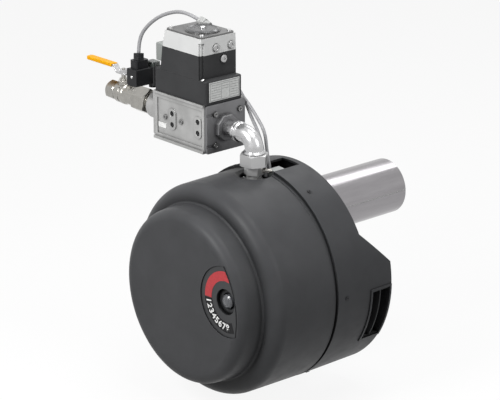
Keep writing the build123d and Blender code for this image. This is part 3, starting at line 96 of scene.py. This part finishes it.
# ---- materials ----
class Shader:
    """A node material with one Principled shader and helpers for its textures."""

    def __init__(self, name):
        self.mat = bpy.data.materials.new(name)
        self.mat.use_nodes = True
        self.tree = self.mat.node_tree
        self.out = self.tree.nodes["Principled BSDF"]
        self.coords = self.node("ShaderNodeTexCoord").outputs["Object"]

    def node(self, kind, **values):
        made = self.tree.nodes.new(kind)
        for key, value in values.items():
            if key in made.inputs:
                made.inputs[key].default_value = value
            else:
                setattr(made, key, value)
        return made

    def link(self, a, b):
        self.tree.links.new(a, b)
        return self

    def stretched(self, scale):
        mapping = self.node("ShaderNodeMapping")
        mapping.inputs["Scale"].default_value = scale
        self.link(self.coords, mapping.inputs["Vector"])
        return mapping.outputs["Vector"]

    def noise(self, scale, detail=4.0, rough=0.55, stretch=None):
        tex = self.node("ShaderNodeTexNoise")
        tex.inputs["Scale"].default_value = scale
        tex.inputs["Detail"].default_value = detail
        tex.inputs["Roughness"].default_value = rough
        self.link(self.stretched(stretch) if stretch else self.coords, tex.inputs["Vector"])
        return tex.outputs["Fac"]

    def ramp(self, source, low, high, a, b):
        ramp = self.node("ShaderNodeMapRange")
        ramp.inputs["From Min"].default_value = low
        ramp.inputs["From Max"].default_value = high
        ramp.inputs["To Min"].default_value = a
        ramp.inputs["To Max"].default_value = b
        self.link(source, ramp.inputs["Value"])
        return ramp.outputs["Result"]

    def mixed(self, fac, a, b):
        mix = self.node("ShaderNodeMix", data_type="RGBA")
        for socket, value in ((mix.inputs[6], a), (mix.inputs[7], b)):
            if hasattr(value, "is_linked"):
                self.link(value, socket)
            else:
                socket.default_value = (*value, 1.0)
        self.link(fac, mix.inputs[0])
        return mix.outputs[2]

    def bump(self, height, distance, strength=1.0, after=None):
        bump = self.node("ShaderNodeBump")
        bump.inputs["Distance"].default_value = distance
        bump.inputs["Strength"].default_value = strength
        self.link(height, bump.inputs["Height"])
        if after is not None:
            self.link(after, bump.inputs["Normal"])
        return bump.outputs["Normal"]

    def worn(self, radius):
        """1 on sharp edges and 0 on flats, from the difference between the bevelled and the true normal."""
        bevel = self.node("ShaderNodeBevel", samples=4)
        bevel.inputs["Radius"].default_value = radius
        geometry = self.node("ShaderNodeNewGeometry")
        dot = self.node("ShaderNodeVectorMath", operation="DOT_PRODUCT")
        self.link(bevel.outputs["Normal"], dot.inputs[0])
        self.link(geometry.outputs["Normal"], dot.inputs[1])
        return self.ramp(dot.outputs["Value"], 0.995, 0.90, 0.0, 1.0)

    def painted_corner_shade(self, distance, low=0.4, high=1.0):
        """Painted shade: 0 far into a corner and 1 on open faces, from ambient occlusion."""
        hidden = self.node("ShaderNodeAmbientOcclusion", samples=6)
        hidden.inputs["Distance"].default_value = distance
        return self.ramp(hidden.outputs["AO"], low, high, 0.0, 1.0)

    def soft_edges(self, radius):
        bevel = self.node("ShaderNodeBevel", samples=4)
        bevel.inputs["Radius"].default_value = radius
        return bevel.outputs["Normal"]

    def paint(self, colour=None, rough=None, metal=None, normal=None, **values):
        for value, name in ((colour, "Base Color"), (rough, "Roughness"), (metal, "Metallic"), (normal, "Normal")):
            if value is None:
                continue
            if hasattr(value, "is_linked"):
                self.link(value, self.out.inputs[name])
            elif name == "Base Color":
                self.out.inputs[name].default_value = (*value, 1.0)
            else:
                self.out.inputs[name].default_value = value
        for name, value in values.items():
            self.out.inputs[name.replace("_", " ")].default_value = value
        return self.mat


def scaled(colour, factor):
    return tuple(min(1.0, c * factor) for c in colour)


def plastic(name, colour, rough=0.45, grain=0.00012, grain_scale=900, edge=0.0006, vary=0.12, specular=0.5,
            reach=0.006, corner_shade_factor=0.6):
    """Moulded plastic: fine spark-eroded grain, slow colour drift, corners darkened with painted shade, and rubbed
    edges.
    """
    s = Shader(name)
    drift = s.noise(18, 3)
    base = s.mixed(s.ramp(drift, 0.3, 0.7, 0, 1), scaled(colour, 1 - vary), scaled(colour, 1 + vary))
    # painted shade: the colour darkens in corners and hollows, as far as ambient occlusion closes them in
    base = s.mixed(s.painted_corner_shade(reach), scaled(colour, corner_shade_factor), base)
    base = s.mixed(s.ramp(s.worn(edge), 0.2, 1, 0, 0.35), base, scaled(colour, 1.8))
    normal = s.bump(s.noise(grain_scale, 2), grain, 0.6, s.soft_edges(edge))
    gloss = s.ramp(s.noise(45, 4), 0.3, 0.7, rough - 0.05, rough + 0.06)
    return s.paint(base, gloss, 0.0, normal, Specular_IOR_Level=specular)


def metal(name, colour, rough=0.3, grain=0.00008, stretch=None, scale=260, edge=0.0005, bright=1.5, spread=0.08):
    """Machined or plated metal: fine marks, uneven gloss and brighter rubbed edges."""
    s = Shader(name)
    marks = s.noise(scale, 5, 0.6, stretch)
    base = s.mixed(s.ramp(marks, 0.25, 0.75, 0, 1), scaled(colour, 0.86), scaled(colour, 1.1))
    base = s.mixed(s.ramp(s.worn(edge), 0.2, 1, 0, 0.7), base, scaled(colour, bright))
    gloss = s.ramp(marks, 0.3, 0.7, rough - spread, rough + spread)
    normal = s.bump(marks, grain, 0.5, s.soft_edges(edge))
    return s.paint(base, gloss, 1.0, normal)


def cast(name, colour, rough=0.42, edge=0.0008, depth=0.00025, metallic=0.75, cloudy=0.15, reach=0.006, corner_shade_factor=0.35):
    """Die-cast metal: pebbled skin, cloudy gloss, corners darkened with painted shade and grime, and polished edges."""
    s = Shader(name)
    cloud = s.noise(30, 5)
    pebble = s.noise(420, 3)
    base = s.mixed(s.ramp(cloud, 0.3, 0.7, 0, 1), scaled(colour, 1 - cloudy), scaled(colour, 1 + cloudy))
    # painted shade with some grime: the colour darkens in corners and hollows, from ambient occlusion
    base = s.mixed(s.painted_corner_shade(reach), scaled(colour, corner_shade_factor), base)
    base = s.mixed(s.ramp(s.worn(edge), 0.2, 1, 0, 0.6), base, scaled(colour, 1.45))
    normal = s.bump(pebble, depth, 0.6, s.soft_edges(edge))
    return s.paint(base, s.ramp(cloud, 0.3, 0.7, rough - 0.08, rough + 0.1), metallic, normal)


def glassy(name, colour, rough=0.12):
    """Clear moulded plastic: milky depth, faint flow lines and a hard gloss."""
    s = Shader(name)
    flow = s.noise(60, 4, 0.6, (1, 1, 0.3))
    base = s.mixed(s.ramp(flow, 0.3, 0.7, 0, 1), scaled(colour, 0.8), scaled(colour, 1.2))
    gloss = s.ramp(flow, 0.3, 0.7, rough - 0.04, rough + 0.06)
    normal = s.bump(flow, 0.0001, 0.5, s.soft_edges(0.0006))
    return s.paint(base, gloss, 0.0, normal, Transmission_Weight=0.45, IOR=1.49)


def printed(name, colour, specular=0.4):
    """Printed film: slight unevenness of the ink and a satin gloss."""
    s = Shader(name)
    ink = s.noise(240, 4)
    base = s.mixed(s.ramp(ink, 0.35, 0.65, 0, 1), scaled(colour, 0.9), scaled(colour, 1.08))
    return s.paint(base, s.ramp(ink, 0.3, 0.7, 0.34, 0.46), 0.0, s.bump(ink, 0.00003, 0.4), Specular_IOR_Level=specular)


MATERIALS = {
    # hood_plastic and shell_paint: the last two numbers spread a wide and strong painted shade over the hollows
    "hood_plastic": plastic("hood_plastic", (0.056, 0.057, 0.060), 0.42, 0.00012, 800, 0.0015, 0.08, 0.12, 0.10, 0.15),
    "shell_paint": plastic("shell_paint", (0.050, 0.051, 0.054), 0.44, 0.00012, 800, 0.001, 0.08, 0.12, 0.05, 0.3),
    "ring_print": plastic("ring_print", (0.040, 0.041, 0.043), 0.42, 0.00008, 900, 0.0003, 0.08, 0.25),
    "button_clear": glassy("button_clear", (0.17, 0.175, 0.19)),
    "tube_steel": metal("tube_steel", (0.30, 0.29, 0.30), 0.22, 0.000006, (1, 0.12, 1), 60, 0.0005, 1.3, 0.04),
    "zinc": metal("zinc", (0.52, 0.52, 0.525), 0.28, 0.00008, None, 90, 0.0006, 1.4, 0.06),
    "nickel": metal("nickel", (0.38, 0.37, 0.345), 0.24, 0.000004, None, 90, 0.0008, 1.6, 0.03),
    "cast_light": cast("cast_light", (0.43, 0.43, 0.425), 0.42),
    "cast_dark": cast("cast_dark", (0.18, 0.18, 0.185), 0.45),
    "cast_base": cast("cast_base", (0.30, 0.31, 0.31), 0.5),
    "coil_black": plastic("coil_black", (0.046, 0.0465, 0.048), 0.36, 0.0001, 800, 0.0008, 0.12, 0.06),
    "band_grey": cast("band_grey", (0.64, 0.645, 0.64), 0.42, 0.0007, 0.00008, 0.1, 0.04, 0.004, 0.5),
    "plate_dark": cast("plate_dark", (0.17, 0.17, 0.17), 0.3, 0.0006, 0.0001, 0.8),
    "label": printed("label", (0.62, 0.63, 0.62)),
    "black_rubber": plastic("black_rubber", (0.010, 0.010, 0.010), 0.6, 0.0002, 600, 0.001, 0.2, 0.15),
    "cable_grey": plastic("cable_grey", (0.30, 0.30, 0.31), 0.42, 0.0001, 500, 0.0004, 0.1, 0.35),
    "grip_yellow": plastic("grip_yellow", (0.88, 0.41, 0.003), 0.42, 0.0001, 300, 0.001, 0.06, 0.12),
    "plug_black": plastic("plug_black", (0.014, 0.0145, 0.016), 0.42, 0.00015, 700, 0.0006, 0.15, 0.22),
    "cover_clear": glassy("cover_clear", (0.10, 0.115, 0.108), 0.2),
    "motor_paint": plastic("motor_paint", (0.05, 0.055, 0.065), 0.45, 0.0002, 500, 0.0008, 0.12),
    "device_plastic": plastic("device_plastic", (0.36, 0.365, 0.36), 0.4, 0.00015, 600, 0.0008, 0.08),
    "ceramic": plastic("ceramic", (0.72, 0.71, 0.66), 0.2, 0.00003, 300, 0.0004, 0.04),
}
EXTRA_FINISHES = {
    "red_ink": printed("red_ink", (0.47, 0.045, 0.052), 0.25),
    "black_ink": printed("black_ink", (0.008, 0.008, 0.009), 0.15),
    "white_ink": printed("white_ink", (0.88, 0.88, 0.87), 0.25),
    "box_grey": plastic("box_grey", (0.27, 0.285, 0.275), 0.45, 0.00015, 700, 0.0008, 0.06),
    "cast_zinc": cast("cast_zinc", (0.46, 0.46, 0.46), 0.32, 0.0006, 0.0001, 0.55, 0.1, 0.002, 0.6),
    "dull_metal": metal("dull_metal", (0.26, 0.26, 0.26), 0.3, 0.0001, None, 300),
    "black_screw": metal("black_screw", (0.035, 0.035, 0.037), 0.35, 0.0001, None, 400),
    "plug_metal": metal("plug_metal", (0.40, 0.40, 0.40), 0.26, 0.0001, None, 300),
    "cap_metal": cast("cap_metal", (0.14, 0.142, 0.145), 0.28, 0.0006, 0.0001, 0.85),
    "white_screw": metal("white_screw", (0.78, 0.78, 0.78), 0.2, 0.0001, None, 300),
}
SLOTS = {row["node"]: row["material_slot"] for row in frame["record"]["subparts"]}
OWN_FINISH = {
    "shell_screws": "black_screw",
    "blanking_plugs": "plug_metal",
    "top_cap": "cap_metal",
    "top_screws": "white_screw",
    "terminal_box": "box_grey",
    "valve_screws": "dull_metal",
    "union_tail": "cast_zinc",
    "union_nut": "cast_zinc",
}
for name, obj in NODES.items():
    for slot in obj.material_slots:
        slot.material = EXTRA_FINISHES[OWN_FINISH[name]] if name in OWN_FINISH else MATERIALS[SLOTS[name]]


# ---- cables ----
def cable(name, points, radius, node):
    """A smooth cable on the route's points, standing for its CAD node."""
    material = SLOTS[node]
    curve = bpy.data.curves.new(name, "CURVE")
    curve.dimensions = "3D"
    curve.bevel_depth = radius
    curve.bevel_resolution = 4
    curve.resolution_u = 16
    curve.use_fill_caps = True
    spline = curve.splines.new("NURBS")
    spline.points.add(len(points) - 1)
    for point, place in zip(spline.points, points):
        point.co = (*place, 1.0)
    spline.order_u = 3
    spline.use_endpoint_u = True
    obj = bpy.data.objects.new(name, curve)
    bpy.context.collection.objects.link(obj)
    obj.data.materials.append(MATERIALS[material])
    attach(obj, "burner")
    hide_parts(node)


SIGNAL_ROUTE = [
    (-0.2820, -0.1690, 0.2540),
    (-0.2865, -0.1645, 0.2800),
    (-0.2710, -0.1540, 0.3070),
    (-0.2390, -0.1440, 0.3300),
    (-0.1950, -0.1325, 0.3410),
    (-0.1660, -0.1250, 0.3280),
]
VALVE_ROUTE_A = [
    (-0.1120, -0.0880, 0.2140),
    (-0.0940, -0.0890, 0.2050),
    (-0.0710, -0.0900, 0.1687),
    (-0.0446, -0.0970, 0.1487),
    (-0.0174, -0.1120, 0.1332),
    (-0.0070, -0.1140, 0.1040),
    (-0.0050, -0.1135, 0.0740),
]
VALVE_ROUTE_B = [
    (-0.1120, -0.0990, 0.2220),
    (-0.0829, -0.0940, 0.2006),
    (-0.0547, -0.0920, 0.1731),
    (-0.0294, -0.0940, 0.1502),
    (-0.0158, -0.1020, 0.1197),
    (-0.0070, -0.1040, 0.0980),
    (-0.0050, -0.1035, 0.0740),
]
SIGNAL_RADIUS = 0.0033
VALVE_RADIUS = 0.0030
cable("signal_lead", SIGNAL_ROUTE, SIGNAL_RADIUS, "signal_cable")
cable("valve_lead_a", VALVE_ROUTE_A, VALVE_RADIUS, "valve_cable_a")
cable("valve_lead_b", VALVE_ROUTE_B, VALVE_RADIUS, "valve_cable_b")


# ---- helpers for detail pieces ----
def piece(name, body, slot, fill, finish=None, smooth=False):
    """A mesh piece that fill draws into a bmesh, riding on a body."""
    bm = bmesh.new()
    fill(bm)
    bmesh.ops.remove_doubles(bm, verts=bm.verts, dist=1e-6)
    bmesh.ops.recalc_face_normals(bm, faces=bm.faces)
    mesh = bpy.data.meshes.new(name)
    bm.to_mesh(mesh)
    bm.free()
    for face in mesh.polygons:
        face.use_smooth = smooth
    obj = bpy.data.objects.new(name, mesh)
    bpy.context.collection.objects.link(obj)
    obj.data.materials.append(EXTRA_FINISHES[finish] if finish else MATERIALS[slot])
    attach(obj, body)
    return obj


def prism_between(bm, outline, along):
    """A closed solid between an outline and the same outline moved along a vector."""
    low = [bm.verts.new(p) for p in outline]
    high = [bm.verts.new(Vector(p) + Vector(along)) for p in outline]
    bm.faces.new(low)
    bm.faces.new(list(reversed(high)))
    for i in range(len(low)):
        j = (i + 1) % len(low)
        bm.faces.new((low[i], high[i], high[j], low[j]))


def lathe(bm, profile, origin, axis, steps=32):
    """A turned solid: profile is (radius, height along the axis) from pole to pole."""
    axis = Vector(axis).normalized()
    side = axis.orthogonal().normalized()
    other = axis.cross(side)
    rings = []
    for radius, height in profile:
        centre = Vector(origin) + axis * height
        if radius == 0:
            rings.append([bm.verts.new(centre)] * steps)
            continue
        turns = [2 * pi * i / steps for i in range(steps)]
        rings.append([bm.verts.new(centre + (side * cos(t) + other * sin(t)) * radius) for t in turns])
    for low, high in zip(rings, rings[1:]):
        for i in range(steps):
            j = (i + 1) % steps
            corners = list(dict.fromkeys((low[i], low[j], high[j], high[i])))
            if len(corners) > 2:
                bm.faces.new(corners)


def surface(node, start, direction):
    """Where a ray from start first meets a CAD node."""
    hit, place, normal, index = NODES[node].ray_cast(Vector(start), Vector(direction))
    if not hit:
        raise RuntimeError("no surface on " + node)
    return place


# ---- the ring's print ----
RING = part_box("reset_ring")
RING_X, RING_Z = 0.1155, -0.0652
RING_FRONT = RING[0].y
PRINT_THICK = 0.00025
PRINT_IN, PRINT_OUT = 0.0365, 0.0530
HOOD_AXIS_Z = -0.093
TRIM_R = 0.1393  # the flat part of the dome
NUMERAL_SIZE = 0.0165
FIRST_NUMERAL, NUMERAL_STEP, NUMERALS = 191, 12, 8


def trimmed(angle, radius):
    """The radius, or less where the print would pass the dome's edge."""
    dx, dz = cos(angle), sin(angle)
    px, pz = RING_X, RING_Z - HOOD_AXIS_Z
    half = px * dx + pz * dz
    reach = -half + (half ** 2 - px ** 2 - pz ** 2 + TRIM_R ** 2) ** 0.5
    return min(radius, reach)


def band(inner, outer, start, end):
    """Draws a ring sector of print, angles in degrees from +X towards +Z."""
    def fill(bm):
        steps = max(8, int(abs(end - start) / 2))
        angles = [radians(start + (end - start) * i / steps) for i in range(steps + 1)]
        rows = [(a, trimmed(a, outer)) for a in angles]
        rows = [(a, r) for a, r in rows if r > inner + 0.0004]
        outline = [(RING_X + r * cos(a), RING_FRONT, RING_Z + r * sin(a)) for a, r in rows]
        outline += [(RING_X + inner * cos(a), RING_FRONT, RING_Z + inner * sin(a)) for a, r in reversed(rows)]
        prism_between(bm, outline, (0, -PRINT_THICK, 0))
        bmesh.ops.triangulate(bm, faces=bm.faces)
    return fill


piece("ring_print_red", "hood", "ring_print", band(PRINT_IN, PRINT_OUT, 183, 72), "red_ink")
piece("ring_print_black", "hood", "ring_print", band(PRINT_IN - 0.001, PRINT_OUT + 0.0005, 184, 292), "black_ink")


def numeral(text, angle):
    """One printed numeral of the ring's plain scale."""
    font = bpy.data.curves.new("scale_" + text, "FONT")
    font.body = text
    font.size = NUMERAL_SIZE
    font.align_x = "CENTER"
    font.align_y = "CENTER"
    font.extrude = PRINT_THICK / 2
    font.offset = 0.0004
    holder = bpy.data.objects.new("scale_" + text, font)
    mesh = bpy.data.meshes.new_from_object(holder)
    bpy.data.objects.remove(holder)
    radius = (PRINT_IN + PRINT_OUT) / 2
    place = Vector((RING_X + radius * cos(angle), RING_FRONT - 1.4 * PRINT_THICK, RING_Z + radius * sin(angle)))
    turn = Matrix.Rotation(-(angle + pi / 2), 4, "Y") @ Matrix.Rotation(pi / 2, 4, "X")
    mesh.transform(Matrix.Translation(place) @ turn)
    obj = bpy.data.objects.new("scale_" + text, mesh)
    bpy.context.collection.objects.link(obj)
    mesh.materials.clear()
    mesh.materials.append(EXTRA_FINISHES["white_ink"])
    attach(obj, "hood")


for i in range(NUMERALS):
    numeral(str(i + 1), radians(FIRST_NUMERAL + NUMERAL_STEP * i))


# ---- bezel and lens of the reset button ----
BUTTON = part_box("reset_button")
BUTTON_X = (BUTTON[0].x + BUTTON[1].x) / 2
BUTTON_Z = (BUTTON[0].z + BUTTON[1].z) / 2
RING_THICK = 0.0012
BACKWARDS = (0, 1, 0)
BEZEL_PROFILE = [(0.0132, 0.010), (0.0132, 0.0075), (0.0150, 0.0062), (0.0215, 0.0052), (0.0222, 0.0060),
                 (0.0222, 0.010)]
LENS_PROFILE = [(0, -0.0012), (0.004, -0.0010), (0.0072, -0.0003), (0.0082, 0.0006), (0, 0.0008)]
piece("button_bezel", "hood", "hood_plastic",
      lambda bm: lathe(bm, BEZEL_PROFILE, (BUTTON_X, RING_FRONT + RING_THICK, BUTTON_Z), BACKWARDS, 48), smooth=True)
piece("button_lens", "reset_button", "button_clear",
      lambda bm: lathe(bm, LENS_PROFILE, (BUTTON_X, BUTTON[0].y, BUTTON_Z), BACKWARDS, 40), smooth=True)


# ---- label, data plate and port plugs on the valve ----
def plate_outline(x0, x1, z0, z1, y, corner):
    """An upright rectangle with rounded corners."""
    points = []
    for cx, cz, start in ((x1 - corner, z1 - corner, 0), (x0 + corner, z1 - corner, 90),
                          (x0 + corner, z0 + corner, 180), (x1 - corner, z0 + corner, 270)):
        for i in range(5):
            a = radians(start + 22.5 * i)
            points.append((cx + corner * cos(a), y, cz + corner * sin(a)))
    return points


LABEL_X = (-0.2045, -0.1835)
LABEL_Z = (0.1405, 0.1495)
LABEL_CORNER = 0.0008
LABEL_THICK = 0.0003
VALVE_FRONT = surface("valve_body", (LABEL_X[0], -0.5, LABEL_Z[0]), BACKWARDS).y
piece("valve_label", "burner", "label",
      lambda bm: prism_between(bm, plate_outline(*LABEL_X, *LABEL_Z, VALVE_FRONT, LABEL_CORNER),
                               (0, -LABEL_THICK, 0)), "white_ink")

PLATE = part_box("nameplate")


def plate_rules(bm):
    """Frame and ruled fields of the bare data plate."""
    margin, height, width, line = 0.0015, 0.00015, 0.0006, 0.00045
    x = PLATE[1].x
    y0, y1 = PLATE[0].y + margin, PLATE[1].y - margin
    z0, z1 = PLATE[0].z + margin, PLATE[1].z - margin

    def rule(ya, yb, za, zb):
        prism_between(bm, [(x, ya, za), (x, yb, za), (x, yb, zb), (x, ya, zb)], (height, 0, 0))

    for y in (y0, y1 - width):
        rule(y, y + width, z0, z1)
    for z in (z0, z1 - width):
        rule(y0, y1, z, z + width)
    for i in range(1, 7):
        z = z0 + (z1 - z0) * i / 7
        rule(y0 + 0.003, y0 + 0.024, z, z + line)
        rule(y0 + 0.046, y1 - 0.003, z, z + line)
    for i in range(1, 4):
        z = z0 + (z1 - z0) * (0.45 + i / 7)
        rule(y0 + 0.027, y0 + 0.042, z, z + line)
    for y in (y0 + 0.0255, y0 + 0.0440):
        rule(y, y + 0.0004, z0 + 0.002, z1 - 0.002)


piece("data_plate_rules", "burner", "label", plate_rules, "cap_metal")

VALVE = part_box("valve_body")
PORT_X = (-0.0965, -0.1655)
VALVE_MID_Z = (VALVE[0].z + VALVE[1].z) / 2
PORT_Z = (VALVE_MID_Z - 0.010, VALVE_MID_Z + 0.010)
PORT_PROFILE = [(0, 0.0035), (0.0013, 0.0030), (0.0016, 0.0008), (0.0040, 0.0004), (0.0044, 0.0012),
                (0.0044, 0.0060), (0, 0.0060)]


def port_plugs(bm):
    """Sunk screws of the four test points."""
    for x in PORT_X:
        for z in PORT_Z:
            lathe(bm, PORT_PROFILE, (x, VALVE_FRONT, z), BACKWARDS, 20)


piece("port_plugs", "burner", "coil_black", port_plugs)


# ---- small fittings ----
CORNER_SCREW_PROFILE = [(0, -0.0016), (0.0012, -0.0015), (0.0026, -0.0009), (0.0029, 0.0), (0.0029, 0.0012),
                        (0, 0.0012)]
CORNER_SCREW_AT = (-0.0835, -0.1885, 0.2492)
CORNER_SCREW_AXIS = (0, -0.6, 0.8)
piece("corner_screw", "burner", "zinc",
      lambda bm: lathe(bm, CORNER_SCREW_PROFILE, CORNER_SCREW_AT, CORNER_SCREW_AXIS, 20), "white_screw", True)


def gland_ribs(bm):
    """Finger ribs round the plug's gland nut."""
    start = Vector(SIGNAL_ROUTE[0])
    lean = (Vector(SIGNAL_ROUTE[1]) - start).normalized()
    side = lean.orthogonal().normalized()
    other = lean.cross(side)
    count = 18
    for i in range(count):
        t = 2 * pi * i / count
        out = side * cos(t) + other * sin(t)
        across = lean.cross(out)
        base = start - lean * 0.0095 + out * 0.0084
        corners = [base - across * 0.0007, base - across * 0.0004 + out * 0.0007,
                   base + across * 0.0004 + out * 0.0007, base + across * 0.0007]
        prism_between(bm, corners, lean * 0.0085)


piece("gland_ribs", "burner", "plug_black", gland_ribs)

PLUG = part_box("connector_plug")
PLUG_SCREW_PROFILE = [(0, -0.0011), (0.0018, -0.0010), (0.0024, -0.0005), (0.0026, 0.0), (0.0026, 0.0010), (0, 0.0010)]
PLUG_SCREW_AT = ((PLUG[0].x + PLUG[1].x) / 2, PLUG[0].y, 0.2135)
piece("plug_screw", "burner", "zinc",
      lambda bm: lathe(bm, PLUG_SCREW_PROFILE, PLUG_SCREW_AT, BACKWARDS, 20), "white_screw", True)


TUBE_R = 0.050
SEAM_FRONT, SEAM_LENGTH = -0.098, 0.2745


def tube_seam(bm):
    """Flat-ground weld along the flame tube."""
    foot, top = TUBE_R - 0.0001, TUBE_R + 0.0003
    outline = []
    for a, r in ((4.0, foot), (4.4, top), (5.8, top), (6.2, foot)):
        outline.append((r * cos(radians(a)), SEAM_FRONT, r * sin(radians(a))))
    prism_between(bm, outline, (0, SEAM_LENGTH, 0))


piece("tube_seam", "burner", "tube_steel", tube_seam, "dull_metal")


# ---- studio ----
def seen_directly(tree):
    """1 for what the eye, a gloss or a glass sees of the backdrop, and 0 for what lights the object."""
    paths = tree.nodes.new("ShaderNodeLightPath")
    total = paths.outputs["Is Camera Ray"]
    for name in ("Is Glossy Ray", "Is Transmission Ray"):
        most = tree.nodes.new("ShaderNodeMath")
        most.operation = "MAXIMUM"
        tree.links.new(total, most.inputs[0])
        tree.links.new(paths.outputs[name], most.inputs[1])
        total = most.outputs[0]
    return total


WORLD_STRENGTH = 0.15
FLOOR_GAP = 0.02
FLOOR_HALF = 20
FLOOR_LIT, FLOOR_SEEN = 0.35, 0.90  # the floor's colour for the light that it gives, and as it is seen
FLOOR_GLOW = 0.90


def studio():
    """White backdrop, pale floor and four soft lamps."""
    world = bpy.data.worlds.new("studio")
    bpy.context.scene.world = world
    world.use_nodes = True
    tree = world.node_tree
    back = tree.nodes["Background"]
    white = tree.nodes.new("ShaderNodeBackground")
    white.inputs["Color"].default_value = (1, 1, 1, 1)
    white.inputs["Strength"].default_value = 1.0
    back.inputs["Color"].default_value = (1, 1, 1, 1)
    back.inputs["Strength"].default_value = WORLD_STRENGTH
    mix = tree.nodes.new("ShaderNodeMixShader")
    tree.links.new(seen_directly(tree), mix.inputs[0])
    tree.links.new(back.outputs[0], mix.inputs[1])
    tree.links.new(white.outputs[0], mix.inputs[2])
    tree.links.new(mix.outputs[0], tree.nodes["World Output"].inputs["Surface"])

    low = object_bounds()[0].z - FLOOR_GAP
    far = FLOOR_HALF
    mesh = bpy.data.meshes.new("floor")
    mesh.from_pydata([(-far, -far, low), (far, -far, low), (far, far, low), (-far, far, low)], [], [(0, 1, 2, 3)])
    floor = bpy.data.objects.new("floor", mesh)
    bpy.context.collection.objects.link(floor)
    mat = bpy.data.materials.new("floor")
    mat.use_nodes = True
    tree = mat.node_tree
    shader = tree.nodes["Principled BSDF"]
    shader.inputs["Roughness"].default_value = 0.9
    seen = seen_directly(tree)
    shade = tree.nodes.new("ShaderNodeMix")
    shade.data_type = "RGBA"
    shade.inputs[6].default_value = (FLOOR_LIT, FLOOR_LIT, FLOOR_LIT, 1)
    shade.inputs[7].default_value = (FLOOR_SEEN, FLOOR_SEEN, FLOOR_SEEN, 1)
    tree.links.new(seen, shade.inputs[0])
    tree.links.new(shade.outputs[2], shader.inputs["Base Color"])
    glow = tree.nodes.new("ShaderNodeEmission")
    part = tree.nodes.new("ShaderNodeMath")
    part.operation = "MULTIPLY"
    part.inputs[1].default_value = FLOOR_GLOW
    mix = tree.nodes.new("ShaderNodeMixShader")
    tree.links.new(seen, part.inputs[0])
    tree.links.new(part.outputs[0], mix.inputs[0])
    tree.links.new(shader.outputs[0], mix.inputs[1])
    tree.links.new(glow.outputs[0], mix.inputs[2])
    tree.links.new(mix.outputs[0], tree.nodes["Material Output"].inputs["Surface"])
    mesh.materials.append(mat)
    floor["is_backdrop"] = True

    def lamp(name, place, target, size, power):
        data = bpy.data.lights.new(name, "AREA")
        data.shape = "RECTANGLE"
        data.size, data.size_y = size
        data.energy = power
        obj = bpy.data.objects.new(name, data)
        obj.location = place
        obj.rotation_euler = (Vector(target) - Vector(place)).to_track_quat("-Z", "Y").to_euler()
        bpy.context.collection.objects.link(obj)

    lamp("key", (0.0, -1.4, 1.0), (0, -0.2, 0.0), (0.6, 0.6), 22)
    lamp("top", (0.5, -0.1, 1.9), (0, -0.1, 0.0), (1.0, 1.0), 20)
    lamp("back", (-0.7, 1.6, 1.8), (0, 0.05, 0.0), (1.5, 0.5), 11)
    lamp("side", (2.2, 0.6, 1.2), (0, -0.1, 0.0), (1.0, 1.2), 16)


studio()
